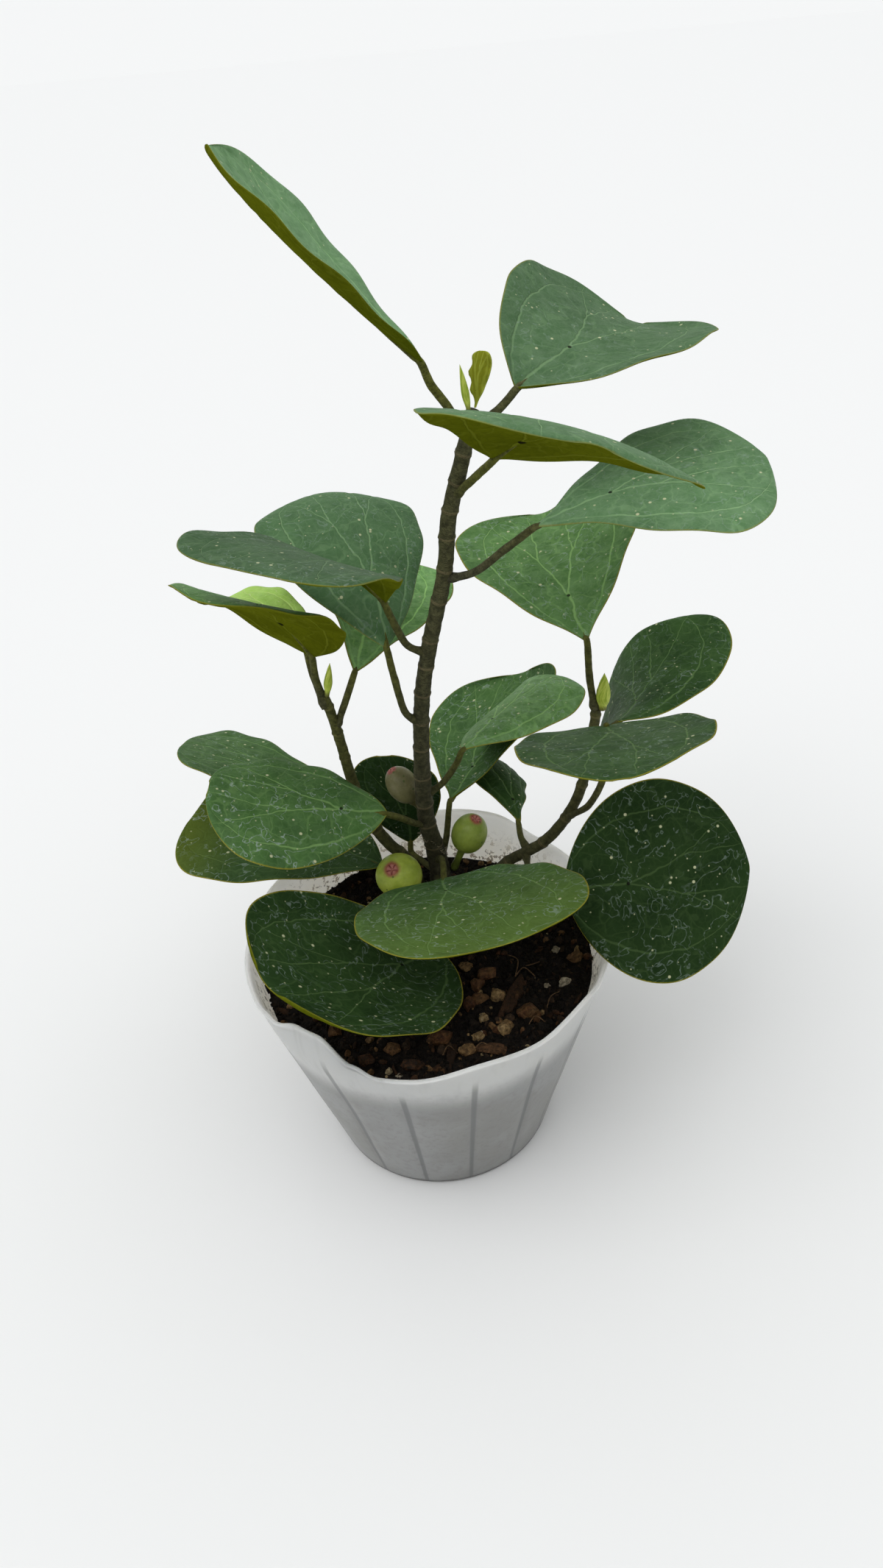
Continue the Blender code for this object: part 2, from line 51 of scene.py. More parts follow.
# %% [markdown]
# The camera.
# The plant was seen from above and quite near, so the pot narrows strongly towards its foot. A wide lens
# close to the plant gives that perspective, and a small roll tilts the picture as a hand-held camera does.

# %% Camera
CAMERA_PLACE = (0.009, -0.271, 0.337)
CAMERA_PITCH = 36
CAMERA_ROLL = 5
CAMERA_LENS = 26

camera_data = bpy.data.cameras.new("camera")
camera_data.lens = CAMERA_LENS
camera_data.sensor_width = 36
camera_data.clip_start = 0.01
camera_data.clip_end = 100
camera = bpy.data.objects.new("camera", camera_data)
bpy.context.scene.collection.objects.link(camera)
look_down = Matrix.Rotation(math.radians(90 - CAMERA_PITCH), 4, "X")
roll = Matrix.Rotation(math.radians(-CAMERA_ROLL), 4, "Z")
camera.matrix_world = Matrix.Translation(CAMERA_PLACE) @ look_down @ roll
bpy.context.scene.camera = camera
print("camera tilts", CAMERA_PITCH, "degrees down")

# %% [markdown]
# A short way to write node trees.
# Every finish below is a tree of shader nodes. These helpers add a node, feed its sockets with numbers or
# with other sockets, and give back the result, so that a finish reads like a recipe.


# %% Node helpers
def add_node(tree, kind, inputs=None, **settings):
    """Adds a node and gives its outputs. inputs says what feeds each socket, by name or by number."""
    node = tree.nodes.new(kind)
    for key, value in settings.items():
        setattr(node, key, value)
    for key, value in (inputs or {}).items():
        socket = node.inputs[key]
        if isinstance(value, bpy.types.NodeSocket):
            tree.links.new(value, socket)
        else:
            socket.default_value = (*value, 1) if socket.type == "RGBA" else value
    return node.outputs


def add_ramp(tree, value, stops):
    """The colour for a value, from rows of position and colour."""
    result = add_node(tree, "ShaderNodeValToRGB", {0: value})[0]
    points = result.node.color_ramp.elements
    for index, (position, colour) in enumerate(stops):
        point = points[index] if index < 2 else points.new(position)
        point.position = position
        point.color = (*colour, 1)
    return result


def node(kind, inputs, output=0, **settings):
    """Adds a node to the tree of the sockets that feed it, and gives one output."""
    tree = next(value.id_data for value in inputs.values() if isinstance(value, bpy.types.NodeSocket))
    return add_node(tree, kind, inputs, **settings)[output]


def calc(operation, *values):
    return node("ShaderNodeMath", dict(enumerate(values)), operation=operation)


def times(first, second):
    return calc("MULTIPLY", first, second)


def plus(value, factor, rest):
    """value times factor, plus rest."""
    return calc("MULTIPLY_ADD", value, factor, rest)


def vector(operation, inputs, output=0):
    return node("ShaderNodeVectorMath", inputs, output, operation=operation)


def moved(place, by):
    return vector("ADD", {0: place, 1: by})


def join(*values):
    return node("ShaderNodeCombineXYZ", dict(enumerate(values)))


def split(value):
    return add_node(value.id_data, "ShaderNodeSeparateXYZ", {0: value})


def step(value, low, high, start=0.0, end=1.0):
    """Goes smoothly from start to end while value goes from low to high."""
    inputs = dict(enumerate((value, low, high, start, end)))
    return node("ShaderNodeMapRange", inputs, interpolation_type="SMOOTHSTEP")


def clouds(place, scale, detail=2.0, roughness=0.5, distortion=0.0, output=0):
    inputs = {"Vector": place, "Scale": scale, "Detail": detail}
    inputs |= {"Roughness": roughness, "Distortion": distortion}
    return node("ShaderNodeTexNoise", inputs, output)


def cells(place, scale, feature="F1"):
    """The distance from the nearest cell's middle or edge, and three draws for that cell."""
    inputs = {"Vector": place, "Scale": scale}
    outputs = add_node(place.id_data, "ShaderNodeTexVoronoi", inputs, feature=feature)
    return outputs[0], split(outputs[1])


def blend(share, first, second, most=1.0):
    """A colour that goes from first to second as share times most goes from 0 to 1."""
    share = times(share, most) if most < 1 else share
    return node("ShaderNodeMix", {0: share, 6: first, 7: second}, 2, data_type="RGBA")


class Finish:
    """A material, with what it reads and what feeds its shader."""

    def __init__(self, name, roughness=0.5, specular=0.5):
        self.material = bpy.data.materials.new(name)
        self.material.use_nodes = True
        self.tree = self.material.node_tree
        self.shader = self.tree.nodes["Principled BSDF"].inputs
        self.shader["Roughness"].default_value = roughness
        self.shader["Specular IOR Level"].default_value = specular
        self.place = add_node(self.tree, "ShaderNodeTexCoord")["Object"]

    def attribute(self, name, output="Vector"):
        return add_node(self.tree, "ShaderNodeAttribute", attribute_name=name)[output]

    def read(self, name):
        """The three numbers that a mesh keeps under a name."""
        return split(self.attribute(name))

    def feed(self, colour, bump, strength=1.0):
        """Gives the shader its colour and its relief in millimetres, and gives back the material."""
        relief = node("ShaderNodeBump", {"Strength": strength, "Distance": MM, "Height": bump})
        self.tree.links.new(colour, self.shader["Base Color"])
        self.tree.links.new(relief, self.shader["Normal"])
        return self.material


def finish_piece(mesh, material, slot, *nodes, lower=None):
    """Links a finished mesh, rides it on the plant, and lets it stand for the frame's nodes.

    A blade also takes a lower finish, for the second half of its faces.
    """
    mesh.materials.clear()
    mesh.materials.append(material)
    if lower:
        mesh.materials.append(lower)
        is_lower = np.arange(len(mesh.polygons)) >= len(mesh.polygons) // 2
        mesh.polygons.foreach_set("material_index", is_lower.astype(np.int32))
    mesh.shade_smooth()
    piece = bpy.data.objects.new(mesh.name, mesh)
    bpy.context.scene.collection.objects.link(piece)
    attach(piece, "root")
    if nodes:
        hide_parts(*nodes)
    return piece


def closed_faces(rings, sides):
    """The faces of a closed body of rings. The two points that close its ends come after the rings."""
    faces, last = [], (rings - 1) * sides
    for side in range(sides):
        after = (side + 1) % sides
        faces.append((rings * sides, after, side))
        faces.append((rings * sides + 1, last + side, last + after))
        for low in range(0, last, sides):
            faces.append((low + side, low + after, low + sides + after, low + sides + side))
    return faces


def new_mesh(name, points, faces, **kept):
    """A mesh of points in millimetres that keeps named rows of three numbers for the materials to read."""
    mesh = bpy.data.meshes.new(name)
    mesh.from_pydata((np.array(points) * MM).tolist(), [], faces)
    for label, rows in kept.items():
        attribute = mesh.attributes.new(label, "FLOAT_VECTOR", "POINT")
        attribute.data.foreach_set("vector", np.asarray(rows, np.float32).ravel())
    return mesh


# %% [markdown]
# Floor and light.
# The plant was seen in soft daylight from straight above, so its level leaves shine and its walls and
# hollows stay dark. A sky that is bright overhead and dim towards the horizon gives that. One broad, weak
# sun from the upper left adds a little shape, and a pale floor throws light back under the leaves. Far
# behind the plant the floor rises a little, so that it fills the picture.

# %% Floor, sky and sun
FLOOR_HALF = 30.0
FLOOR_TURNS_UP = 6.0
BACKDROP_TOP = 3.0
SKY_COLOUR = (0.97, 0.985, 1)
SKY_STOPS = ((0.0, 0.3), (0.45, 0.42), (0.8, 1.15), (1.0, 1.5))
SUN_ANGLE = 50
SUN_STRENGTH = 0.55
SUN_FROM = (-0.6, -0.35, 1.0)

pale_floor = Finish("pale floor", 0.85)
pale_floor.shader["Base Color"].default_value = (0.9, 0.9, 0.89, 1)
corners = []
for y, z in ((-FLOOR_HALF, 0), (FLOOR_TURNS_UP, 0), (FLOOR_HALF, BACKDROP_TOP)):
    corners += [(-FLOOR_HALF, y, z), (FLOOR_HALF, y, z)]
floor_mesh = bpy.data.meshes.new("floor")
floor_mesh.from_pydata(corners, [], [(0, 1, 3, 2), (2, 3, 5, 4)])
floor_mesh.materials.append(pale_floor.material)
floor = bpy.data.objects.new("floor", floor_mesh)
bpy.context.scene.collection.objects.link(floor)

world = bpy.data.worlds.new("overcast sky")
world.use_nodes = True
sky = world.node_tree
direction = add_node(sky, "ShaderNodeTexCoord")["Generated"]
height = add_node(sky, "ShaderNodeSeparateXYZ", {0: direction})["Z"]
sky_stops = [(level, [channel * strength for channel in SKY_COLOUR]) for level, strength in SKY_STOPS]
sky.links.new(add_ramp(sky, height, sky_stops), sky.nodes["Background"].inputs["Color"])
bpy.context.scene.world = world
bpy.context.scene.view_settings.view_transform = "Standard"

sun_data = bpy.data.lights.new("soft sun", "SUN")
sun_data.angle = math.radians(SUN_ANGLE)
sun_data.energy = SUN_STRENGTH
sun = bpy.data.objects.new("soft sun", sun_data)
sun.matrix_world = Vector(SUN_FROM).to_track_quat("Z", "Y").to_matrix().to_4x4()
bpy.context.scene.collection.objects.link(sun)
print("sky:", [strength for _, strength in SKY_STOPS], "sun:", SUN_STRENGTH)

# %% [markdown]
# The shape of a blade.
# A leaf of this fig is a thick wedge with a round end. Its outline follows one formula: a wedge exponent
# draws the base in, and a small blunt exponent keeps the end broad. The flat outline is then bent: the
# midrib arches, the margins cup up or down, and the tip twists. Each leaf of the plant is one row of
# numbers.


# %% Blades
class Blade(NamedTuple):
    name: str
    base: tuple
    heading: float
    rise: float
    roll: float
    length: float
    width: float
    wedge: float
    blunt: float
    arch: float
    cup: float
    twist: float
    sweep: float


BLADES = (
    Blade("a", (13.5, 14.5, 257.5), 172, 40, -15, 67, 62, 0.78, 0.5, -15, 18, 8, -4),
    Blade("b", (36, 15, 249), 40, 17, -19, 68, 63, 0.8, 0.45, 42, 30, 9, -14),
    Blade("c", (28, -1, 237), -60, 35, 24, 70, 69, 1.1, 0.47, 37, -14, 5, 17),
    Blade("d", (38, 9, 214), 7, 21, -1, 68, 61, 1.38, 0.6, 27, -6, -9, -8),
    Blade("e", (-2, 13, 194), -126, 56, 10, 70, 65, 1.04, 0.25, 45, 3, -11, -22),
    Blade("f", (-3, 16, 178), 101, 67, -29, 69, 60, 0.91, 0.45, 84, -16, -1, 29),
    Blade("g", (16, 28, 132), 53, 2, 16, 62, 58, 1.2, 0.55, 15, -42, 28, -28),
    Blade("h", (-9, 12.5, 121.5), 180, 12, 19, 56, 49, 0.78, 0.43, 3, -25, -17, 12),
    Blade("i", (-25, 20.5, 175), -144, 65, -14, 59, 58, 0.74, 0.6, 48, 2, 1, -30),
    Blade("j", (-14, 20, 168), 78, 9, -27, 68, 61, 1.25, 0.26, 15, 35, -1, -16),
    Blade("k", (-28, 33, 172), 141, 41, -20, 44, 36, 0.76, 0.5, 70, 17, -6, 33),
    Blade("l", (-31, 64.5, 98.5), 174, 22, -1, 55, 54, 1.37, 0.4, 9, 1, -23, 6),
    Blade("m", (-14, 32, 84), 154, 14, -12, 68, 60, 0.75, 0.31, 2, 0, 25, -16),
    Blade("n", (55, 18, 173), 101, 22, 12, 68, 62, 1.08, 0.43, 24, 28, -1, 9),
    Blade("o", (65, 26, 139), 55, -18, 32, 69, 65, 0.86, 0.25, -42, -40, 16, -15),
    Blade("p", (59, 8, 150), -94, 29, -5, 66, 54, 0.64, 0.54, 13, 12, 0, 6),
    Blade("q", (44.5, -5.5, 99), -4, 4, -44, 60, 64, 0.61, 0.6, 19, -3, -5, -5),
    Blade("r", (7, 13, 92), -95, 32, -11, 68, 66, 0.62, 0.29, 20, 12, -7, -37),
    Blade("s", (2, -1, 75), -125, 18, 22, 68, 64, 0.64, 0.35, -7, 37, 9, 32),
    Blade("t", (11, 44, 100), 68, -12, 8, 69, 57, 1.3, 0.34, -47, 33, 24, 19),
    Blade("u", (35, 41, 90), 95, 24, -16, 41, 28, 1.15, 0.26, 40, -36, -14, -2),
    Blade("v", (-4, 50, 79), 96, 84, 3, 36, 30, 0.8, 0.4, 4, 6, 11, -18),
)
# The small leaf at the top
YOUNG_BLADE = Blade("young", (25.8, 13.3, 245.6), 60, 82, -180, 13.5, 6.5, 1.1, 0.4, -15, 30, 10, -6)


def half_width(blade, s):
    """Half the blade's width at s, from 0 at the base to 1 at the tip."""
    widest = blade.wedge / (blade.wedge + blade.blunt)
    peak = widest**blade.wedge * (1 - widest) ** blade.blunt
    return blade.width / 2 * s**blade.wedge * (1 - s) ** blade.blunt / peak


def blade_surface(blade, s, t):
    """Points of the blade's middle surface, in millimetres: s runs along it and t from -1 to 1 across it."""
    heading, rise, roll_angle = (math.radians(v) for v in (blade.heading, blade.rise, blade.roll))
    level_share = math.cos(rise)
    forward = np.array((level_share * math.cos(heading), level_share * math.sin(heading), math.sin(rise)))
    level = np.array((math.sin(heading), -math.cos(heading), 0))
    right = math.cos(roll_angle) * level + math.sin(roll_angle) * np.cross(level, forward)
    upper = np.cross(right, forward)
    arch = math.radians(blade.arch) or 1e-6
    bend = (arch * s)[:, None]
    along = blade.length * np.sin(bend) / arch
    down = blade.length * (1 - np.cos(bend)) / arch
    aside = (blade.length * s * s * math.sin(math.radians(blade.sweep)) / 2)[:, None]
    out = np.sin(bend) * forward + np.cos(bend) * upper
    twist = (math.radians(blade.twist) * s)[:, None]
    across = np.cos(twist) * right + np.sin(twist) * out
    out = np.cos(twist) * out - np.sin(twist) * right
    cup = math.radians(blade.cup) or 1e-6
    reach = (half_width(blade, s) / cup)[:, None]
    turn = (cup * t)[:, None]
    middle = along * forward - down * upper + aside * right
    return np.array(blade.base) + middle + reach * (np.sin(turn) * across + (1 - np.cos(turn)) * out)


print("blades:", len(BLADES))

# %% [markdown]
# The veins.
# The midrib of this fig forks, like a Y, about a third of the way up, and each arm forks again. A pair of
# basal veins follows the lower margins. Each vein is a line across the flat blade, and each vertex keeps
# its distance from every line. A distance changes evenly from point to point, so the lines stay sharp on a
# coarse mesh.

# %% Vein lines
FORK = 0.3
ARM_SPREAD = 0.62
TWIG_SPREAD = 0.6
BASAL_SHARE = 0.7


def vein_offsets(blade, number, s, t):
    """For each point, its signed distance in millimetres from six vein lines of the flat blade."""
    sway = math.sin(number * 2.4)
    fork = FORK + 0.05 * sway
    second = 0.58 + 0.06 * math.sin(number * 1.7)
    u = half_width(blade, s) * t
    v = blade.length * s
    wide = blade.width / 2
    after_fork = np.maximum(s - fork, 0)
    after_second = np.maximum(s - second, 0)
    left = -wide * (ARM_SPREAD + 0.12 * sway) * after_fork
    right = wide * (ARM_SPREAD - 0.12 * sway) * after_fork
    lines = (
        left - wide * TWIG_SPREAD * after_second,
        left + wide * TWIG_SPREAD * after_second,
        right - wide * TWIG_SPREAD * 0.8 * after_second,
        right + wide * TWIG_SPREAD * after_second,
        -BASAL_SHARE * half_width(blade, s),
        BASAL_SHARE * half_width(blade, s),
    )
    slope = wide * ARM_SPREAD / blade.length
    tilt = math.hypot(1, slope)
    return [(u - line) / tilt for line in lines], u, v, fork * blade.length


# %% [markdown]
# The mesh of a blade.
# Two sheets of points share their rim: the upper one is lifted by half the thickness and the lower one
# sunk. Both thin out towards the margin. The veins lie in shallow grooves above and stand out below.

# %% Blade meshes
BLADE_HALF_THICKNESS = 0.42
RIM_ROUNDING = 2.0
GROOVE_DEPTH = 0.22
GROOVE_WIDTH = 0.8
RIPPLE = 0.5
END_GAP = 0.0015


def blade_mesh(blade, number, look, yellowing=(1, 2, 0), length_cells=64, width_cells=52):
    rows, columns = length_cells + 1, width_cells + 1
    row_share = 0.5 - 0.5 * np.cos(np.pi * np.linspace(0, 1, rows))
    s = np.repeat(END_GAP + (1 - 2 * END_GAP) * row_share, columns)
    t = np.tile(np.sin(np.pi / 2 * np.linspace(-1, 1, columns)), rows)
    middle = blade_surface(blade, s, t)
    grid = middle.reshape(rows, columns, 3)
    normal = np.cross(np.gradient(grid, axis=1), np.gradient(grid, axis=0)).reshape(-1, 3)
    normal /= np.linalg.norm(normal, axis=1)[:, None] + 1e-12
    offsets, u, v, fork = vein_offsets(blade, number, s, t)
    aside = half_width(blade, s) * (1 - np.abs(t))
    edge = np.where(s < 0.5, aside, np.minimum(aside, blade.length * (1 - s) * 1.4 + 0.02))
    nearest = np.min(np.abs(offsets), axis=0)
    groove = GROOVE_DEPTH * np.exp(-((nearest / GROOVE_WIDTH) ** 2)) * np.clip(edge / 4, 0, 1)
    wave = RIPPLE * np.sin(6.5 * s * np.pi + number) * t**2 * np.abs(t)
    middle = middle + wave[:, None] * normal
    half_thick = BLADE_HALF_THICKNESS * np.sqrt(np.clip(edge / RIM_ROUNDING, 0.02, 1))
    inner = np.zeros((rows, columns), bool)
    inner[1:-1, 1:-1] = True
    inside = inner.ravel()
    top = np.where(inside[:, None], middle + (half_thick - groove)[:, None] * normal, middle)
    bottom = middle - (half_thick + groove)[:, None] * normal
    upper = np.arange(rows * columns).reshape(rows, columns)
    lower = upper.copy()
    lower[inner] = rows * columns + np.arange(inner.sum())

    def quads(grid):
        corners = (grid[:-1, :-1], grid[:-1, 1:], grid[1:, 1:], grid[1:, :-1])
        return np.stack([corner.ravel() for corner in corners], axis=1)

    def both(*values):
        rows = np.stack(np.broadcast_arrays(*values, s)[:3], axis=1)
        return np.concatenate([rows, rows[inside]])

    start, full, most = yellowing
    return new_mesh(
        "blade_" + blade.name,
        np.concatenate([top, bottom[inside]]),
        np.concatenate([quads(upper), quads(lower)[:, ::-1]]).tolist(),
        blade_mm=both(u, v, number * 60.0),
        vein_a=both(*offsets[:3]),
        vein_b=both(*offsets[3:]),
        blade_edge=both(edge, s, v - fork),
        blade_look=both(*look),
        blade_age=both(np.clip((s - start) / (full - start), 0, 1) * most, 0, 0),
    )


# %% [markdown]
# The skin of a blade.
# Above, the leaf is a deep green that is lighter along the veins, with a grey bloom on the top leaves that
# also stands for painted sheen, and chalky rings on the low ones, where water has dried. Each blade's colour
# is scaled lighter or darker as painted light and shade. A net of fine veins fills the fields between the
# main ones. Small pale dots are scattered all over, a black gland sits at the fork, and a thin yellow line
# follows the margin. Below, the leaf is a dull olive. Everything reads the blade's own millimetres, so
# nothing slides or stretches.


# %% Blade lines
RING_CELL = 0.105
DOT_CELL = 0.21
SPECK_CELL = 0.36
CHALK = (0.36, 0.45, 0.4)
OUTLINE_LEVELS = (0.41, 0.5, 0.58)
UPPER_ROUGHNESS = 0.45
MARGIN = (0.28, 0.25, 0.03)
YELLOWED = (0.115, 0.155, 0.018)
DOT = (0.6, 0.62, 0.38)
GLAND = (0.006, 0.005, 0.004)


class BladeLines:
    """The veins of a blade, as shares from 0 to 1 that its two finishes read."""

    def __init__(self, finish):
        self.place = finish.attribute("blade_mm")
        self.edge, self.along, self.past_fork = finish.read("blade_edge")
        wander = vector("SUBTRACT", {0: clouds(self.place, 0.16, 2, output=1), 1: [0.5] * 3})
        sway = times(split(wander)[0], 2.6)
        self.nearest = 1000.0
        for part in (*finish.read("vein_a"), *finish.read("vein_b")):
            apart = calc("ABSOLUTE", calc("ADD", part, sway))
            self.nearest = calc("MINIMUM", self.nearest, apart)
        thick = plus(self.along, -0.4, 0.58)
        line = step(calc("DIVIDE", self.nearest, thick), 0.35, 1.2, 1, 0)
        self.main = times(line, step(self.edge, 0.5, 7, 0.3, 1))
        self.warped = moved(self.place, vector("SCALE", {0: wander, 3: 6.0}))
        loops = step(cells(self.warped, 0.1, "DISTANCE_TO_EDGE")[0], 0.008, 0.045, 1, 0)
        self.loops = times(loops, step(self.nearest, 0.2, 3))
        self.net = step(cells(self.warped, 0.34, "DISTANCE_TO_EDGE")[0], 0.02, 0.1, 1, 0)
        self.broad = clouds(self.place, 0.07, 3, 0.55)
        self.fine = clouds(self.place, 0.9, 3, 0.6)
        self.rim = step(plus(self.fine, 0.5, self.edge), 0.4, 0.8, 1, 0)

    def gland(self, size):
        """The black spot at the fork of the midrib."""
        off_fork = join(split(self.place)[0], self.past_fork, 0)
        return step(vector("LENGTH", {0: off_fork}, 1), size * 0.6, size, 1, 0)


def chalk_share(lines, marks):
    """Rings where drops have dried, wandering outlines, and specks, in patches."""
    distance, (draw, chosen, _) = cells(lines.warped, RING_CELL)
    off_ring = calc("SUBTRACT", calc("DIVIDE", distance, RING_CELL), plus(draw, 1.9, 0.7))
    rings = step(calc("ABSOLUTE", off_ring), 0.05, 0.2, 1, 0)
    rings = times(rings, step(chosen, 0.45, 0.5))
    wander = clouds(moved(lines.place, (13, 5, 0)), 0.055, 4, 0.55, 0.3)
    for level in OUTLINE_LEVELS:
        line = calc("ABSOLUTE", calc("SUBTRACT", wander, level))
        rings = calc("MAXIMUM", rings, step(line, 0.0018, 0.0065, 1, 0))
    where = step(clouds(moved(lines.place, (31, 7, 3)), 0.06, 3), 0.36, 0.56, 0.25, 1)
    breaks = step(clouds(lines.place, 0.5, 3, 0.6), 0.36, 0.58, 0.25, 1)
    specks = times(step(clouds(lines.place, 1.5, 2, 0.7), 0.7, 0.8), 0.5)
    chalk = calc("MAXIMUM", times(rings, breaks), specks)
    return times(times(chalk, where), marks)


def dot_share(place, cell, reach, kept):
    """Pale dots: cell is in cells to the millimetre, reach in millimetres, kept the share that shows."""
    distance, draws = cells(place, cell)
    chosen = step(draws[0], 1 - kept, 1.03 - kept)
    return times(step(calc("DIVIDE", distance, cell), reach * 0.5, reach, 1, 0), chosen)


# %% Blade finishes
def upper_finish(name, deep, light, bloom_and_sheen, vein, margin):
    finish = Finish(name, specular=0.03)
    lines = BladeLines(finish)
    marks, tone, shade = finish.read("blade_look")
    yellow = finish.read("blade_age")[0]
    top = blend(step(lines.broad, 0.15, 0.9), deep, light)
    top = blend(step(lines.nearest, 0, 4.5, 0.3, 0), top, light)
    haze = step(clouds(lines.place, 0.2, 6, 0.75), 0.2, 0.85)
    # A grey bloom that also stands for painted sheen, in patches
    top = blend(times(haze, tone), top, bloom_and_sheen, 0.8)
    for share, most in ((lines.net, 0.1), (lines.loops, 0.22), (lines.main, 0.68)):
        top = blend(share, top, vein, most)
    top = blend(yellow, top, YELLOWED, 0.85)
    # Painted light and shade: each blade's colour is scaled for how much light falls on it
    top = vector("SCALE", {0: top, 3: shade})
    chalk = chalk_share(lines, marks)
    top = blend(chalk, top, CHALK, 0.72)
    dots = dot_share(lines.place, DOT_CELL, 0.62, 0.85)
    specks = dot_share(moved(lines.place, (9, 4, 5)), SPECK_CELL, 0.34, 0.8)
    dots = calc("MAXIMUM", dots, times(specks, 0.7))
    top = blend(dots, top, DOT, 0.9)
    top = blend(lines.rim, top, MARGIN, margin)
    top = blend(lines.gland(0.7), top, GLAND, 0.9)
    shine = plus(clouds(lines.place, 0.3, 3), 0.2, UPPER_ROUGHNESS)
    finish.tree.links.new(plus(chalk, 0.3, shine), finish.shader["Roughness"])
    relief = times(lines.fine, 0.06)
    marked = calc("MAXIMUM", chalk, dots)
    for share, lift in ((lines.main, -0.16), (lines.loops, -0.07), (lines.net, -0.025), (marked, 0.04)):
        relief = plus(share, lift, relief)
    return finish.feed(top, plus(clouds(lines.place, 0.22, 2), 0.5, relief))


def lower_finish(name, ground, veins, gland):
    finish = Finish(name, 0.7, 0.0)
    lines = BladeLines(finish)
    lower = blend(step(lines.broad, 0.3, 0.7), ground, [channel * 1.3 for channel in ground])
    lower = blend(lines.net, lower, [channel * 0.5 for channel in ground], 0.2)
    for share, most in ((lines.loops, 0.35), (lines.main, 0.8), (lines.rim, 0.5)):
        lower = blend(share, lower, veins, most)
    relief = plus(lines.main, 0.2, times(lines.loops, 0.08))
    return finish.feed(blend(lines.gland(gland), lower, GLAND, 0.95), plus(lines.fine, 0.06, relief))


# Each row: name, deep green, light green, grey bloom and painted sheen, veins, strength of the margin
UPPER_LOOKS = (
    (
        "grey green leaf",
        (0.037, 0.084, 0.033), (0.066, 0.14, 0.055), (0.135, 0.21, 0.12),
        (0.165, 0.27, 0.13), 0.5,
    ),
    (
        "dark green leaf",
        (0.013, 0.037, 0.009), (0.037, 0.084, 0.021), (0.09, 0.15, 0.068),
        (0.11, 0.19, 0.065), 0.85,
    ),
    (
        "young leaf",
        (0.15, 0.28, 0.04), (0.26, 0.4, 0.08), (0.28, 0.42, 0.12),
        (0.36, 0.48, 0.15), 0.6,
    ),
)
grey_green, dark_green, young_green = (upper_finish(*row) for row in UPPER_LOOKS)
olive_below = lower_finish("leaf underside", (0.085, 0.098, 0.004), (0.15, 0.17, 0.014), 1.3)
young_below = lower_finish("young leaf underside", (0.19, 0.2, 0.015), (0.45, 0.5, 0.08), 0.1)
print("blade finishes ready")

# %% Make the blades
# How chalky each blade is above, its bloom and painted sheen, and its painted light and shade
LOOKS = {
    "a": (0.15, 0.9, 2.1), "b": (0.25, 0.9, 1.15), "c": (0.15, 0.8, 1.55), "d": (0.4, 0.75, 1.75),
    "e": (0.5, 0.6, 1.02), "f": (0.35, 0.4, 1.4), "g": (0.9, 0.95, 3.2), "h": (0.9, 0.45, 2.1),
    "i": (0.15, 0.2, 3.6), "j": (0.15, 0.9, 5.4), "k": (0.15, 0.8, 1.7), "l": (0.5, 0.7, 1.6),
    "m": (0.55, 0.6, 1.05), "n": (0.6, 0.7, 2.6), "o": (0.5, 0.2, 1.4), "p": (0.5, 0.5, 1.3),
    "q": (0.38, 0.2, 0.62), "r": (0.6, 0.45, 1.68), "s": (0.5, 0.2, 0.88), "t": (0.75, 0.5, 2.0),
    "u": (0.3, 0.2, 1.1), "v": (0.3, 0.2, 0.75),
}
# Where a blade turns yellow along its length: from, fully at, how much
YELLOWING = {"m": (0.62, 0.95, 0.8), "r": (0.2, 1.0, 0.36)}
NO_YELLOW = (1, 2, 0)
GREY_GREEN = "abcdef"


def blade_skin(name):
    if name == "k":
        return young_green, "young_leaf"
    if name in GREY_GREEN:
        return grey_green, "leaf_grey_green"
    return dark_green, "leaf_grey_green" if name == "i" else "leaf_green"


for number, blade in enumerate(BLADES):
    material, slot = blade_skin(blade.name)
    mesh = blade_mesh(blade, number, LOOKS[blade.name], YELLOWING.get(blade.name, NO_YELLOW))
    finish_piece(mesh, material, slot, "leaf_" + blade.name, lower=olive_below)
young_mesh = blade_mesh(YOUNG_BLADE, 30, (0, 0, 1), NO_YELLOW, 24, 16)
finish_piece(young_mesh, young_green, "young_leaf", "leaf_young", lower=young_below)
blades = [mesh for mesh in bpy.data.meshes if mesh.name.startswith("blade_")]
print("blade triangles:", sum(len(mesh.polygons) * 2 for mesh in blades))

# %% [markdown]
# Stems.
# The trunk and the two side branches are woody and a little crooked. Each is swept along a smooth path
# through a few given points, with a radius at each. Petioles grow from them: round, rough little stalks
# that swell where they leave the stem and run on under the blade as its midrib.

# %% Stem paths
# Rows of x, y, z and radius, in millimetres
STEMS = {
    "trunk": (
        (6, 34, 56.5, 3.8), (6, 34, 72, 3.8), (5, 33, 88, 3.2), (3, 30, 104, 2.9), (3, 28, 121, 2.7),
        (4, 26, 141, 2.55), (6, 23, 160, 2.4), (10, 21, 179, 2.3), (15, 19, 199, 2.2),
        (17, 17, 215, 2.15), (21, 15, 230, 2.1), (25, 13, 245, 1.8),
    ),
    "branch_left": (
        (-2, 33, 56.5, 2.1), (-2, 33, 74, 2.1), (-5, 32, 86, 2.0), (-11, 31, 95, 2.0),
        (-17, 31, 108, 1.9), (-20, 30, 123, 1.8), (-22, 25, 147, 1.6), (-24, 22, 161, 1.45),
    ),
    "branch_right": (
        (24, 34, 56.5, 2.0), (24, 34, 67, 2.0), (25, 34, 74, 2.0), (31, 33, 81, 1.9),
        (42, 30, 90, 1.9), (50, 28, 102, 1.8), (55, 26, 117, 1.7), (58, 24, 139, 1.6),
        (58.5, 22, 148, 1.5),
    ),
}
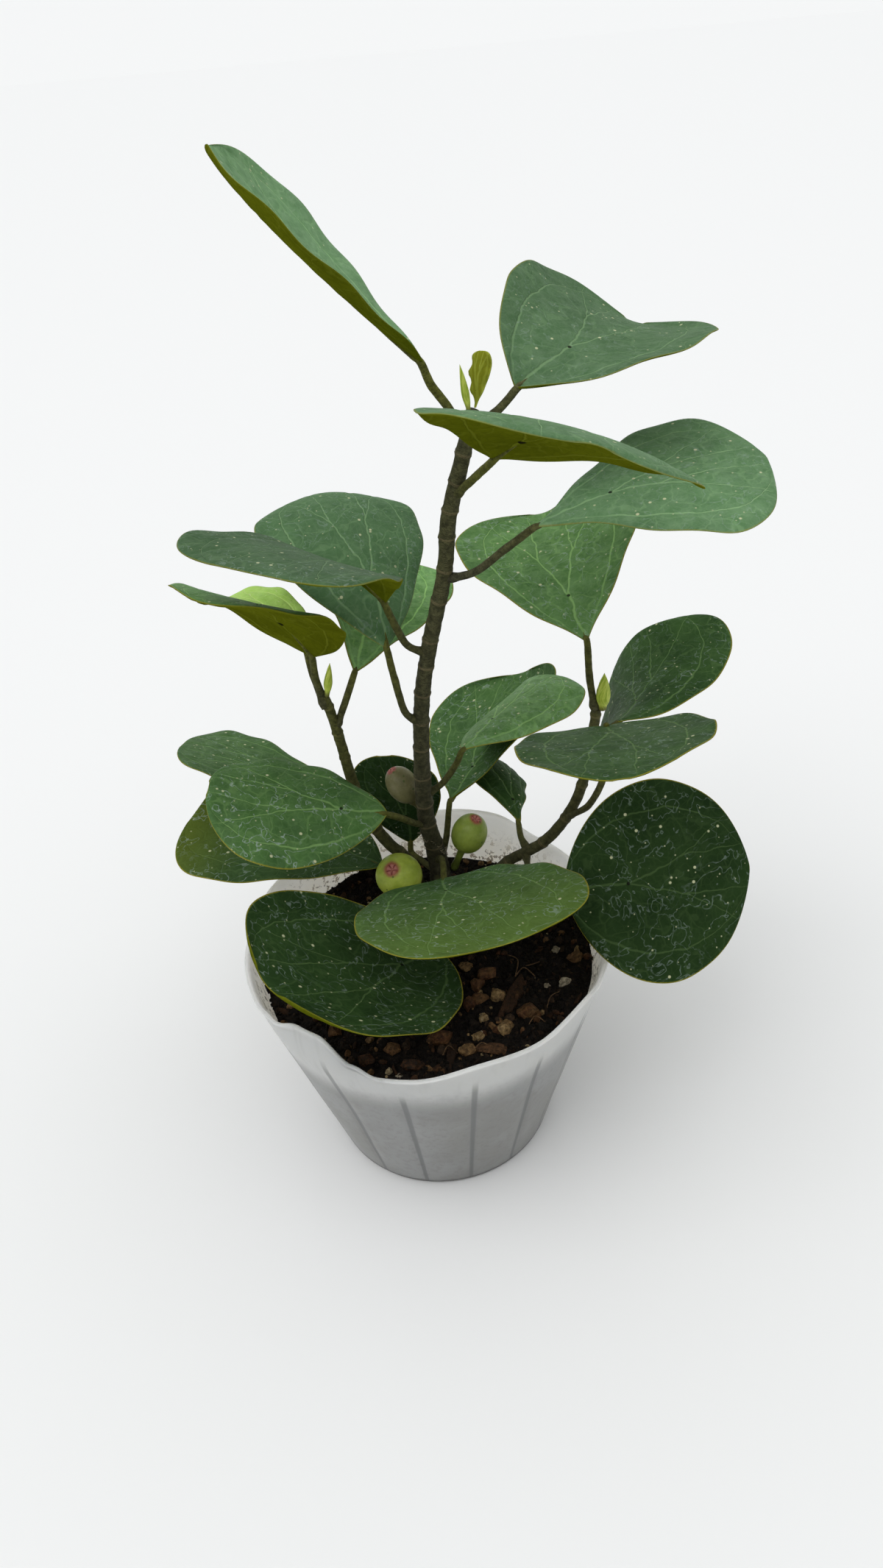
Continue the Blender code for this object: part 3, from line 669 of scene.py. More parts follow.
PETIOLES = {
    "trunk": {
        "a": ((22, 14, 240), (19, 14, 246), (15, 14, 252)),
        "b": ((23, 14, 240), (31, 14, 244)),
        "c": ((19, 16, 222), (24, 9, 229)),
        "d": ((15, 19, 197), (23, 15, 200), (31, 12, 207)),
        "e": ((9, 22, 172), (3, 20, 176), (0, 17, 184)),
        "f": ((4, 25, 147), (0, 22, 152), (-2, 18, 166)),
        "g": ((3, 29, 115), (9, 29, 119), (14, 29, 126)),
        "h": ((3, 31, 101), (-1, 25, 107), (-5, 18, 115)),
        "r": ((5, 33, 84), (7, 24, 91)),
        "s": ((5, 33, 77), (4, 20, 79), (3, 8, 77)),
        "t": ((6, 33, 82), (9, 37, 90)),
        "v": ((6, 34, 76), (0, 43, 75), (-4, 49, 75)),
    },
    "branch_left": {
        "i": ((-24, 22, 158), (-25.5, 21.5, 167)),
        "j": ((-22, 25, 147), (-18, 23, 157)),
        "k": ((-24, 22, 156), (-27, 28, 165)),
        "l": ((-20, 30, 119), (-26, 38, 115), (-28, 52, 105)),
        "m": ((-7, 32, 89), (-10, 32, 86)),
    },
    "branch_right": {
        "n": ((58, 22, 147), (56, 20, 160)),
        "o": ((58, 24, 135), (61, 25, 136)),
        "p": ((50, 28, 102), (56, 20, 112), (60, 13, 130)),
        "q": ((36, 32, 84), (36, 18, 86), (37, 5, 92), (41, -3, 96)),
        "u": ((37, 32, 85), (35, 36, 88)),
    },
}
PETIOLE_RADIUS = 1.1
MIDRIB_PLACES = (0.005, 0.04, 0.08, 0.14, 0.22)
MIDRIB_RADII = (1.0, 0.8, 0.6, 0.42, 0.15)
MIDRIB_DROP = 0.45
STEP_MM = 0.6
SCAR_REACH = 0.55
GREENS_BY = 1.3


def smooth_path(points, spacing=STEP_MM):
    """Catmull-Rom points through (x, y, z, radius) rows, about one spacing apart."""
    rows = np.array([points[0], *points, points[-1]], float)
    made = []
    for before, start, end, after in zip(rows, rows[1:], rows[2:], rows[3:]):
        count = max(2, int(np.linalg.norm(end[:3] - start[:3]) / spacing))
        for share in np.linspace(0, 1, count, endpoint=False):
            bend = (2 * before - 5 * start + 4 * end - after) * share**2
            bend += (3 * start - before - 3 * end + after) * share**3
            made.append(start + ((end - before) * share + bend) / 2)
    return np.array([*made, rows[-1]])


def sweep(path, sides, scars=(), swell=0.0, green=(0, 0), seed=0, rough=0.09):
    """A closed tube along the path, swollen at its scars.

    It gives the points, the faces, each point's place along and round the tube with its share of a scar, and
    how green each point is.
    """
    spots, radii = path[:, :3], path[:, 3]
    tangents = np.gradient(spots, axis=0)
    tangents /= np.linalg.norm(tangents, axis=1)[:, None]
    length = np.concatenate([[0], np.cumsum(np.linalg.norm(np.diff(spots, axis=0), axis=1))])
    scar = np.zeros(len(spots))
    for place in scars:
        scar = np.maximum(scar, np.exp(-(((spots[:, 2] - place) / SCAR_REACH) ** 2)))
    side = np.cross(tangents[0], (0.3, 1, 0.2))
    points, marks = [], []
    for row, (spot, tangent) in enumerate(zip(spots, tangents)):
        side = side - tangent * np.dot(side, tangent)
        side /= np.linalg.norm(side)
        other = np.cross(tangent, side)
        for corner in range(sides):
            angle = 2 * math.pi * corner / sides
            round_place = Vector((length[row] * 0.25, math.cos(angle) + seed, math.sin(angle)))
            lump = noise.noise(round_place) + 0.5 * noise.noise(round_place * 3.1)
            radius = radii[row] * (1 + rough * lump) + swell * scar[row]
            points.append(spot + radius * (math.cos(angle) * side + math.sin(angle) * other))
            marks.append((length[row], angle * radii[row] + seed * 17, scar[row]))
    points += [spots[0], spots[-1]]
    marks += [(0, 0, 0), (length[-1], 0, 0)]
    share = np.minimum(1, GREENS_BY * np.array([mark[0] for mark in marks]) / length[-1])
    greens = green[0] + (green[1] - green[0]) * share
    return np.array(points), closed_faces(len(spots), sides), np.array(marks), greens


def joined_mesh(name, parts):
    """One mesh from several swept parts, with the places that the bark reads."""
    faces, shift = [], 0
    for points, part_faces, _, _ in parts:
        faces += [tuple(corner + shift for corner in face) for face in part_faces]
        shift += len(points)
    points, _, marks, greens = zip(*parts)
    greens = np.repeat(np.concatenate(greens)[:, None], 3, axis=1)
    return new_mesh(name, np.concatenate(points), faces, stem_mm=np.concatenate(marks), stem_green=greens)


def petiole_path(blade, points):
    """From inside the stem to the blade, and on as a midrib below it, thinning out."""
    s = np.array(MIDRIB_PLACES)
    middle = blade_surface(blade, s, np.zeros(len(s)))
    ahead = blade_surface(blade, s + 0.01, np.zeros(len(s))) - middle
    across = blade_surface(blade, s + 0.02, np.full(len(s), 0.2)) - middle
    upward = np.cross(across, ahead)
    upward /= np.linalg.norm(upward, axis=1)[:, None]
    tail = [(*spot, radius) for spot, radius in zip(middle - MIDRIB_DROP * upward, MIDRIB_RADII)]
    return [*((*point, PETIOLE_RADIUS) for point in points), *tail]


print("petioles:", sum(len(leaves) for leaves in PETIOLES.values()))

# %% [markdown]
# Bark.
# The old wood is brown-grey with pale flecks and fine cracks across it, and ring scars where leaves once
# stood. A petiole is the same near the stem and turns olive green towards its blade.


# %% Bark finish
def bark_finish():
    finish = Finish("bark", 0.75, 0.25)
    along, around, scar = finish.read("stem_mm")
    green = finish.read("stem_green")[0]
    skin = join(along, around, 0)
    rough = clouds(skin, 0.45, 5, 0.65)
    patchy = step(rough, 0.3, 0.7)
    ringed = join(times(along, 3.2), times(around, 0.9), 3)
    cracks = step(clouds(ringed, 0.9, 4, 0.65), 0.5, 0.64)
    flakes = step(clouds(skin, 1.3, 3, 0.7), 0.6, 0.68)
    wood = blend(patchy, (0.034, 0.032, 0.018), (0.092, 0.086, 0.05))
    wood = blend(cracks, wood, (0.014, 0.011, 0.006), 0.25)
    wood = blend(flakes, wood, (0.22, 0.2, 0.13), 0.4)
    wood = blend(step(scar, 0.45, 0.75), wood, (0.19, 0.15, 0.085), 0.75)
    wood = blend(step(scar, 0.88, 0.98), wood, (0.014, 0.009, 0.006), 0.8)
    fresh = blend(patchy, (0.075, 0.078, 0.01), (0.16, 0.165, 0.026))
    fresh = blend(flakes, fresh, (0.2, 0.19, 0.08), 0.25)
    relief = plus(flakes, 0.12, plus(cracks, -0.15, times(rough, 0.5)))
    return finish.feed(blend(green, wood, fresh), relief)


bark = bark_finish()

# %% Make the stems
SCARS = {
    "trunk": (92, 103, 112, 124, 136, 147, 158, 168, 177, 190, 200, 210, 218, 226, 234, 241),
    "branch_left": (90, 101, 112, 121, 134, 145, 156),
    "branch_right": (80, 90, 101, 116, 126, 136, 145),
}
STEM_SIDES = 36
PETIOLE_SIDES = 14
SCAR_SWELL = 0.28
AGE = {"trunk": (0.0, 0.25), "branch_left": (0.15, 0.6), "branch_right": (0.1, 0.45)}
PETIOLE_GREEN = {"a": (0.7, 1.2), "b": (0.2, 0.5), "c": (0.3, 2.0), "d": (0.0, 0.5)}
ROOT_COLLAR = 0.4
COLLAR_PLACE = 2.2
COLLAR_SPREAD = 1.6


def fuzz(path, count, reach, seed):
    """Short pale fibres that stand off the foot of a stem."""
    made = []
    for number in range(count):
        turn = 2.4 * number + seed
        row = path[int((0.08 + 0.5 * ((number * 0.618) % 1)) * len(path))]
        out = np.array((math.cos(turn), math.sin(turn), 0.5 * math.sin(turn * 3)))
        start = row[:3] + out * row[3] * 0.85
        bend = np.array((math.sin(turn * 5), math.cos(turn * 7), 0.6)) * 0.7
        rows = [(*start, 0.14), (*(start + out * reach * 0.6), 0.12), (*(start + out * reach + bend), 0.05)]
        made.append(sweep(smooth_path(rows, 0.5), 5, green=(0, 0), seed=seed))
    return made


for stem_name, stem_points in STEMS.items():
    path = smooth_path(stem_points)
    parts = [sweep(path, STEM_SIDES, SCARS[stem_name], SCAR_SWELL, AGE[stem_name], 1)]
    for leaf_name, points in PETIOLES[stem_name].items():
        number = "abcdefghijklmnopqrstuv".index(leaf_name)
        path = smooth_path(petiole_path(BLADES[number], points), 0.5)
        grown = np.concatenate([[0], np.cumsum(np.linalg.norm(np.diff(path[:, :3], axis=0), axis=1))])
        path[:, 3] *= 1 + ROOT_COLLAR * np.exp(-(((grown - COLLAR_PLACE) / COLLAR_SPREAD) ** 2))
        green = PETIOLE_GREEN.get(leaf_name, (0.2, 1.0))
        parts.append(sweep(path, PETIOLE_SIDES, green=green, seed=number + 2))
    mesh = joined_mesh(stem_name + "_bark", parts)
    finish_piece(mesh, bark, "bark", stem_name)
    print(stem_name, "triangles:", len(mesh.polygons) * 2)

# %% Fibres at the foot
fibre_path = smooth_path(STEMS["trunk"][1:5])
pale_fibre = Finish("pale fibre", 0.8, 0.2)
fibre_tint = blend(clouds(pale_fibre.place, 500), (0.2, 0.17, 0.1), (0.42, 0.38, 0.27))
pale_fibre.tree.links.new(fibre_tint, pale_fibre.shader["Base Color"])
finish_piece(joined_mesh("trunk_fibres", fuzz(fibre_path, 60, 1.1, 3)), pale_fibre.material, "bark")
print("trunk fibres ready")

# %% [markdown]
# Figs.
# Each fig is a small round urn on a stalk. At its mouth a few red scales close over each other like a star.
# The skin goes from green at the neck to a blush round the mouth, with small dark dots.

# %% Figs
# Each row: name, where the stalk leaves the stem, middle, width, length, blush, lightness
FIGS = (
    ("fig_1", (2, 34.5, 104), (-4, 36, 115), 10.5, 14, 0.75, 0.35),
    ("fig_2", (11, 34, 79), (17, 32, 95), 12.3, 15, 0.0, 0.5),
    ("fig_3", (-4.5, 28, 77), (-8, 21.4, 88), 15.6, 15, 0.0, 1.0),
)
FIG_SIDES = 60
MOUTH_SCALES = 5


def fig_finish():
    finish = Finish("fig skin", 0.4, 0.35)
    height, out, turn = finish.read("fig_look")
    blush, light, _ = finish.read("fig_tint")
    soft = clouds(finish.place, 220, 3, 0.55)
    fine = clouds(finish.place, 1500, 3)
    patchy = step(soft, 0.3, 0.7)
    green = blend(patchy, (0.32, 0.42, 0.04), (0.5, 0.6, 0.085))
    deep = blend(patchy, (0.085, 0.14, 0.028), (0.14, 0.21, 0.05))
    dusky = blend(step(soft, 0.35, 0.7), (0.14, 0.1, 0.065), (0.22, 0.17, 0.115))
    skin = blend(blush, blend(light, deep, green), dusky)
    skin = blend(step(fine, 0.55, 0.7), skin, (0.4, 0.42, 0.2), 0.15)
    wobble = plus(soft, 0.16, calc("SUBTRACT", out, 0.08))
    skin = blend(step(wobble, 0.24, 0.46, 0.9, 0), skin, (0.36, 0.06, 0.06))
    petal = calc("ABSOLUTE", calc("SINE", times(turn, MOUTH_SCALES / 2)))
    star = blend(petal, (0.3, 0.05, 0.04), (0.55, 0.22, 0.17))
    skin = blend(step(out, 0.17, 0.27, 1, 0), skin, star)
    gap = times(step(petal, 0.1, 0.35, 1, 0), step(out, 0.2, 0.3, 1, 0))
    skin = blend(gap, skin, (0.1, 0.015, 0.012), 0.85)
    distance, draws = cells(finish.place, 330)
    dots = times(step(distance, 0.1, 0.17, 1, 0), step(draws[0], 0.72, 0.76))
    skin = blend(dots, skin, (0.05, 0.1, 0.015), 0.75)
    skin = blend(step(height, 0.12, 0.3, 0.8, 0), skin, (0.06, 0.08, 0.015))
    return finish.feed(skin, times(fine, 0.08))


def fig_profile(reach, radius, half):
    """Rings of (radius, height) from the mouth down to the stalk's foot."""
    dimple = (0.0, 0.7), (0.08, 0.55), (0.16, 0.2), (0.24, 0.12), (0.32, 0.1)
    rows = [(share * radius, reach + half - 0.25 - down) for share, down in dimple]
    for degrees in np.linspace(70, -66, 34):
        angle = math.radians(degrees)
        rows.append((radius * math.cos(angle) ** 0.95, reach + half * math.sin(angle)))
    neck = max(reach - half - 0.6, 1.2)
    stalk = [(1.9, neck), (1.35, neck - 0.8), (1.15, neck * 0.45), (1.45, 0.7), (1.2, -1.0), (0.0, -1.1)]
    return rows + stalk


def fig_mesh(name, root, centre, diameter, length, blush, light):
    """A turned body along the stalk, with a ring of small scales round its mouth."""
    axis = Vector(centre) - Vector(root)
    reach, radius, half = axis.length, diameter / 2, length / 2
    mouth, *rings, foot = fig_profile(reach, radius, half)
    points, look = [], []

    def add(ring_radius, height, angle):
        inside = height > reach
        swell = ring_radius * (1 + 0.02 * math.sin(2 * angle + 1) * min(1, max(0, height / reach)))
        near_mouth = math.exp(-(((ring_radius / radius - 0.18) / 0.08) ** 2)) if inside else 0
        lift = 0.5 * abs(math.sin(MOUTH_SCALES * angle / 2)) * near_mouth
        points.append(Vector((swell * math.cos(angle), swell * math.sin(angle), height + lift)))
        look.append((height / (reach + half), ring_radius / radius if inside else 1, angle))

    for ring in reversed(rings):
        for side in range(FIG_SIDES):
            add(*ring, 2 * math.pi * side / FIG_SIDES)
    add(*foot, 0)
    add(*mouth, 0)
    matrix = Matrix.Translation(root) @ axis.to_track_quat("Z", "Y").to_matrix().to_4x4()
    points = [matrix @ point for point in points]
    faces = closed_faces(len(rings), FIG_SIDES)
    return new_mesh(name + "_skin", points, faces, fig_look=look, fig_tint=[(blush, light, 0)] * len(look))


fig_skin = fig_finish()
for row in FIGS:
    finish_piece(fig_mesh(*row), fig_skin, "fig_skin", row[0])
print("figs:", len(FIGS))

# %% [markdown]
# Buds.
# At each tip a pointed sheath wraps the next leaf. It is a slim cone, fullest near its foot, with faint
# ribs along its length.

# %% Buds
# Each row: name, foot, tip, radius
BUDS = (
    ("bud_top", (23.8, 12.6, 246.2), (22.3, 11.5, 257), 1.0),
    ("bud_left", (-22.6, 20.6, 162.6), (-20.5, 19.5, 173), 1.3),
    ("bud_right", (60.2, 20.6, 149.6), (60.2, 18.5, 162), 2.2),
)


def bud_finish():
    finish = Finish("bud", 0.45, 0.2)
    along, around, _ = finish.read("stem_mm")
    ribs = clouds(join(times(along, 0.3), times(around, 2.0), 0), 0.9, 2)
    fresh = blend(step(ribs, 0.35, 0.65), (0.3, 0.42, 0.03), (0.6, 0.68, 0.12))
    return finish.feed(blend(step(along, 0, 3, 1, 0), fresh, (0.13, 0.13, 0.03)), times(ribs, 0.3))


bud_skin = bud_finish()
# How far along a bud, and how wide it is there
BUD_SHAPE = (
    (-0.12, 0.55), (0, 0.62), (0.1, 0.8), (0.22, 0.95), (0.35, 1), (0.5, 0.88), (0.65, 0.68),
    (0.8, 0.45), (0.92, 0.2), (1, 0.04),
)
for bud_name, foot, tip, bud_radius in BUDS:
    foot, tip = Vector(foot), Vector(tip)
    path = [(*(foot + (tip - foot) * share), bud_radius * wide) for share, wide in BUD_SHAPE]
    sheath = joined_mesh(bud_name + "_sheath", [sweep(smooth_path(path, 0.3), 20, seed=5)])
    finish_piece(sheath, bud_skin, "young_leaf", bud_name)
print("buds:", len(BUDS))

# %% [markdown]
# The pot.
# A thin, soft nursery pot: its wall leans out, shallow ribs run up it, and its rim has lost its shape and
# waves up and down. It is a loft: one profile goes up the outside, over the lip and down the inside at
# every angle round the pot, and the wave is eased between a few given heights.

# %% Pot
BASE_RADIUS = 38.0
RIM_RADIUS = 60.0
RIM_HEIGHT = 83.0
POT_WALL = 1.2
RIB_COUNT = 16
RIB_PHASE = 11.25
RIB_DEPTH = 0.5
WAVE_START = 74.0
SOIL_LEVEL = 68.0
POT_SIDES = 336
# Angle round the pot in degrees, height of the rim, and how far it is pushed out
RIM_WAVES = (
    (-180, 80, 0), (-158, 80, 0), (-144, 84, -1), (-131, 90, -3), (-124, 90.5, -3), (-115, 80, -2),
    (-107, 77.5, -0.5), (-98, 78.5, 0), (-76, 84.5, 0.5), (-59, 82, 0), (-43, 87.5, 0.5), (-22, 79, 0),
    (10, 81, 0), (45, 82, 0), (65, 85, 1), (105, 84, 0), (150, 82, 0),
)


def rim_at(angle):
    """The rim's height and push-out at an angle round the pot, eased between the points of RIM_WAVES."""
    ring = [*RIM_WAVES, (RIM_WAVES[0][0] + 360, *RIM_WAVES[0][1:])]
    for (start, z0, out0), (end, z1, out1) in zip(ring, ring[1:]):
        if start <= angle <= end:
            share = (1 - math.cos(math.pi * (angle - start) / (end - start))) / 2
            return z0 + (z1 - z0) * share, out0 + (out1 - out0) * share
    raise ValueError("the rim is given from -180 to 180 degrees")


def wall_radius(z):
    return BASE_RADIUS + (RIM_RADIUS - BASE_RADIUS) * z / RIM_HEIGHT


def rib_lobe(angle, z):
    lobe = max(0, math.cos(RIB_COUNT * math.radians(angle + RIB_PHASE))) ** 6
    return lobe * min(1, z / 15) * max(0, min(1, (WAVE_START - z) / 20))


def pot_profile(angle):
    """Rows of radius, height and how far inside, from the middle of the base round to the inner floor."""
    top, push = rim_at(angle)
    rows = [(0.0, 0.0, 0), (20.0, 0.0, 0), (BASE_RADIUS - 1.6, 0.0, 0), (BASE_RADIUS - 0.5, 0.25, 0)]
    for z in (1.2, 3, 6, 10, 15, 22, 30, 38, 46, 54, 62, 68, WAVE_START):
        rows.append((wall_radius(z) - RIB_DEPTH * rib_lobe(angle, z), z, 0))
    for share in (0.2, 0.4, 0.6, 0.75, 0.88):
        z = WAVE_START + (top - WAVE_START) * share
        rows.append((wall_radius(z) + push * share * share, z, 0))
    lip = wall_radius(top) + push
    rows += [(lip + 0.35, top - 0.9, 0), (lip + 0.3, top - 0.25, 0.2)]
    rows += [(lip - 0.3, top, 0.5), (lip - 0.9, top - 0.25, 0.8)]
    for share in (0.85, 0.6, 0.3, 0):
        z = WAVE_START + (top - WAVE_START) * share
        rows.append((wall_radius(z) + push * share * share - POT_WALL, z, 1))
    for z in (66, 50, 30, 10, POT_WALL):
        rows.append((wall_radius(z) - POT_WALL - RIB_DEPTH * rib_lobe(angle, z), z, 1))
    rows += [(20.0, POT_WALL, 1), (0.0, POT_WALL, 1)]
    return rows


def pot_mesh():
    points, look = [], []

    def add(angle, row):
        radius, z, inside = row
        across, along = math.cos(math.radians(angle)), math.sin(math.radians(angle))
        dent = 0.5 * noise.noise(Vector((across * 2, along * 2, z / 30)))
        radius += dent * min(1, z / 20) if radius else 0
        points.append((radius * across, radius * along, z))
        look.append((inside, rib_lobe(angle, z), rim_at(angle)[0] - z))

    angles = [-180 + 360 * side / POT_SIDES for side in range(POT_SIDES)]
    base, *rings, inner_floor = zip(*(pot_profile(angle) for angle in angles))
    for ring in rings:
        for angle, row in zip(angles, ring):
            add(angle, row)
    add(0, base[0])
    add(0, inner_floor[0])
    return new_mesh("pot_shell", points, closed_faces(len(rings), POT_SIDES), pot_look=look)


def pot_finish():
    finish = Finish("soft white plastic", 0.4, 0.4)
    inside, _, below_rim = finish.read("pot_look")
    x, y, z = split(finish.place)
    height = times(z, 1000)
    cloud = clouds(finish.place, 26, 5, 0.62)
    streaks = clouds(join(x, y, times(z, 0.1)), 170, 3)
    mottle = clouds(finish.place, 420, 4, 0.7)
    ragged = plus(cloud, 14, plus(mottle, 7, height))
    filled = step(ragged, 66, 82, 1, 0)
    wall = blend(filled, (0.6, 0.6, 0.57), (0.285, 0.287, 0.28))
    wall = blend(times(step(cloud, 0.4, 0.62), filled), wall, (0.2, 0.195, 0.175), 0.55)
    wall = blend(times(step(mottle, 0.5, 0.62), filled), wall, (0.19, 0.185, 0.17), 0.35)
    wall = blend(step(streaks, 0.5, 0.7), wall, (0.25, 0.25, 0.24), 0.15)
    turn = calc("ADD", calc("ARCTAN2", y, x), math.radians(RIB_PHASE))
    on_rib = calc("COSINE", times(turn, RIB_COUNT))
    # Painted shade: dark grey lines down the rib grooves, fading towards the rim
    rib_groove_shade = times(step(on_rib, 0.94, 0.99), step(below_rim, 9, 18))
    wall = blend(rib_groove_shade, wall, (0.13, 0.135, 0.135), 0.7)
    # Painted shade: a dark band round the foot of the wall, where it meets the floor
    wall = blend(step(height, 1.4, 3.2, 0.9, 0), wall, (0.06, 0.058, 0.052))
    lining = blend(step(below_rim, 2, 13), (0.93, 0.9, 0.84), (0.88, 0.82, 0.72))
    soiled = times(step(mottle, 0.53, 0.58), step(height, 68, 82, 1, 0))
    lining = blend(soiled, lining, (0.05, 0.03, 0.02), 0.9)
    finish.shader["Subsurface Weight"].default_value = 1.0
    finish.shader["Subsurface Radius"].default_value = (1.0, 0.95, 0.85)
    finish.shader["Subsurface Scale"].default_value = 8 * MM
    skin = blend(step(inside, 0.45, 0.6), wall, lining)
    return finish.feed(skin, plus(streaks, 0.12, times(cloud, 0.5)), 0.6)


finish_piece(pot_mesh(), pot_finish(), "pot_plastic", "pot")
print("pot ready")

# %% [markdown]
# The growing medium.
# A dark plug fills the pot, lumpy on top and mounded round the trunk. Its surface is then covered: Geometry
# Nodes scatter crumbs, bark chips and grit over it, each with its own shade, and a few larger stones are
# set one by one where they catch the eye.

# %% Soil body
SOIL_RELIEF = 1.5
SOIL_MOUND = 4.0
SOIL_MOUND_PLACE = STEMS["trunk"][0]
MOUND_SPREAD = 14.0
SOIL_INSET = 2.0
SOIL_SIDES = 144
SOIL_RINGS = 56


def soil_height(x, y):
    away = math.hypot(x - SOIL_MOUND_PLACE[0], y - SOIL_MOUND_PLACE[1])
    lumps = noise.noise(Vector((x, y, 0)) * 0.13) + 0.5 * noise.noise(Vector((x, y, 7)) * 0.3)
    return SOIL_LEVEL + SOIL_RELIEF * lumps + SOIL_MOUND * math.exp(-((away / MOUND_SPREAD) ** 2))


def soil_mesh():
    floor_z = POT_WALL + 0.3
    top_radius = wall_radius(SOIL_LEVEL - SOIL_RELIEF) - SOIL_INSET
    rings = [(wall_radius(floor_z) - SOIL_INSET, floor_z)]
    rings += [(top_radius * (1 - ring / SOIL_RINGS), None) for ring in range(SOIL_RINGS)]
    points = []
    for radius, height in rings:
        for side in range(SOIL_SIDES):
            angle = 2 * math.pi * side / SOIL_SIDES
            x, y = radius * math.cos(angle), radius * math.sin(angle)
            rough = 0.9 * noise.noise(Vector((x, y, 3)) * 0.6) + 0.5 * noise.noise(Vector((x, y, 9)) * 1.5)
            points.append((x, y, height if height else soil_height(x, y) + rough))
    points += [(0, 0, floor_z), (0, 0, soil_height(0, 0))]
    return new_mesh("soil_body", points, closed_faces(len(rings), SOIL_SIDES))


dark_medium = Finish("dark medium", 0.95, 0.2)
earth_grain = clouds(dark_medium.place, 700, 4, 0.7)
earth = blend(step(earth_grain, 0.35, 0.7), (0.003, 0.0025, 0.002), (0.018, 0.012, 0.008))
dark_medium.feed(earth, times(earth_grain, 1.2))
soil_piece = finish_piece(soil_mesh(), dark_medium.material, "growing_medium", "soil")


# %% Scatter tree
SCATTER_SOCKETS = {
    "Surface": "Geometry", "Piece": "Object", "Density": "Float", "Seed": "Int",
    "Smallest": "Float", "Largest": "Float", "Finish": "Material",
}


def scatter_tree():
    """Sets copies of one piece on the upward faces, with random turn, size and shade."""
    tree = bpy.data.node_groups.new("scatter pieces", "GeometryNodeTree")
    for label, kind in SCATTER_SOCKETS.items():
        tree.interface.new_socket(label, in_out="INPUT", socket_type="NodeSocket" + kind)
    tree.interface.new_socket("Pieces", in_out="OUTPUT", socket_type="NodeSocketGeometry")

    def add(kind, inputs=None, **settings):
        return add_node(tree, kind, inputs, **settings)

    given = add("NodeGroupInput")
    seed = given["Seed"]
    facing = add("ShaderNodeSeparateXYZ", {0: add("GeometryNodeInputNormal")[0]})["Z"]
    upward = add("FunctionNodeCompare", {0: facing, 1: 0.5}, data_type="FLOAT", operation="GREATER_THAN")[0]
    whole_face = add("GeometryNodeFieldOnDomain", {0: upward}, data_type="BOOLEAN", domain="FACE")[0]
    where = {"Mesh": given["Surface"], "Selection": whole_face, "Density": given["Density"], "Seed": seed}
    points = add("GeometryNodeDistributePointsOnFaces", where)["Points"]
    piece = add("GeometryNodeObjectInfo", {"Object": given["Piece"]})["Geometry"]
    half_turns = {0: [-math.pi] * 3, 1: [math.pi] * 3, "Seed": seed}
    turn = add("FunctionNodeRandomValue", half_turns, data_type="FLOAT_VECTOR")[0]
    sizes = {2: given["Smallest"], 3: given["Largest"], "Seed": seed}
    size = add("FunctionNodeRandomValue", sizes, data_type="FLOAT")[1]
    copies = {"Points": points, "Instance": piece, "Rotation": turn, "Scale": size}
    copies = add("GeometryNodeInstanceOnPoints", copies)[0]
    shade = add("FunctionNodeRandomValue", data_type="FLOAT")[1]
    shaded = {"Geometry": copies, "Name": "shade", "Value": shade}
    shaded = add("GeometryNodeStoreNamedAttribute", shaded, data_type="FLOAT", domain="INSTANCE")[0]
    real = add("GeometryNodeRealizeInstances", {0: shaded})[0]
    painted = add("GeometryNodeSetMaterial", {"Geometry": real, "Material": given["Finish"]})[0]
    add("NodeGroupOutput", {0: painted})
    return tree


SCATTER = scatter_tree()


def scattered(name, surface, **values):
    """Runs the scatter tree over a surface and keeps its result as a plain mesh."""
    host = bpy.data.objects.new(name + "_host", surface)
    bpy.context.scene.collection.objects.link(host)
    modifier = host.modifiers.new("scatter", "NODES")
    modifier.node_group = SCATTER
    for item in SCATTER.interface.items_tree:
        if item.name in values:
            modifier[item.identifier] = values[item.name]
    graph = bpy.context.evaluated_depsgraph_get()
    mesh = bpy.data.meshes.new_from_object(host.evaluated_get(graph))
    bpy.data.objects.remove(host, do_unlink=True)
    mesh.name = name
    return mesh


# Without a seed of its own, the noise that turns the cuts would change from run to run
PEBBLE_SEED = 6
noise.seed_set(PEBBLE_SEED)


def chipped(point, seed, roughness, cuts=9):
    """Where a point of a unit ball lies on a rough pebble: swollen by noise, with flat cuts for corners."""
    spot = point * (1 + roughness * noise.noise(point * 1.6 + Vector((seed * 3.7, 0, 0))))
    for cut in range(cuts):
        normal = noise.noise_vector(Vector((seed * 7.3, cut * 5.1, 2.9))).normalized()
        depth = 0.72 + 0.12 * math.sin(seed * 5 + cut * 3)
        spot -= normal * max(0, spot.dot(normal) - depth)
    return spot


def pebble_object(name, seed, subdivisions, stretch, roughness):
    """A hidden pattern piece, one millimetre in radius."""
    bm = bmesh.new()
    bmesh.ops.create_icosphere(bm, subdivisions=subdivisions, radius=1)
    for vert in bm.verts:
        spot = chipped(vert.co, seed, roughness)
        vert.co = Vector([coordinate * share * MM for coordinate, share in zip(spot, stretch)])
    mesh = bpy.data.meshes.new(name)
    bm.to_mesh(mesh)
    bm.free()
    return bpy.data.objects.new(name, mesh)


# %% Crumbs, chips and grit
def grit_finish(name, stops, roughness=0.85, mottling=0.2):
    finish = Finish(name, roughness, 0.15)
    grain = clouds(finish.place, 900, 3, 0.65)
    change = plus(clouds(finish.place, 320, 3, 0.6), mottling * 2, -mottling)
    change = plus(grain, 0.2, calc("SUBTRACT", change, 0.1))
    shade = calc("ADD", finish.attribute("shade", "Fac"), change)
    tint = add_ramp(finish.tree, shade, stops)
    # Painted shade: the low pits of the grain bump are darkened towards black
    tint = blend(step(grain, 0.3, 0.75, 0.7, 0), tint, (0.008, 0.006, 0.004))
    return finish.feed(tint, times(grain, 0.9))


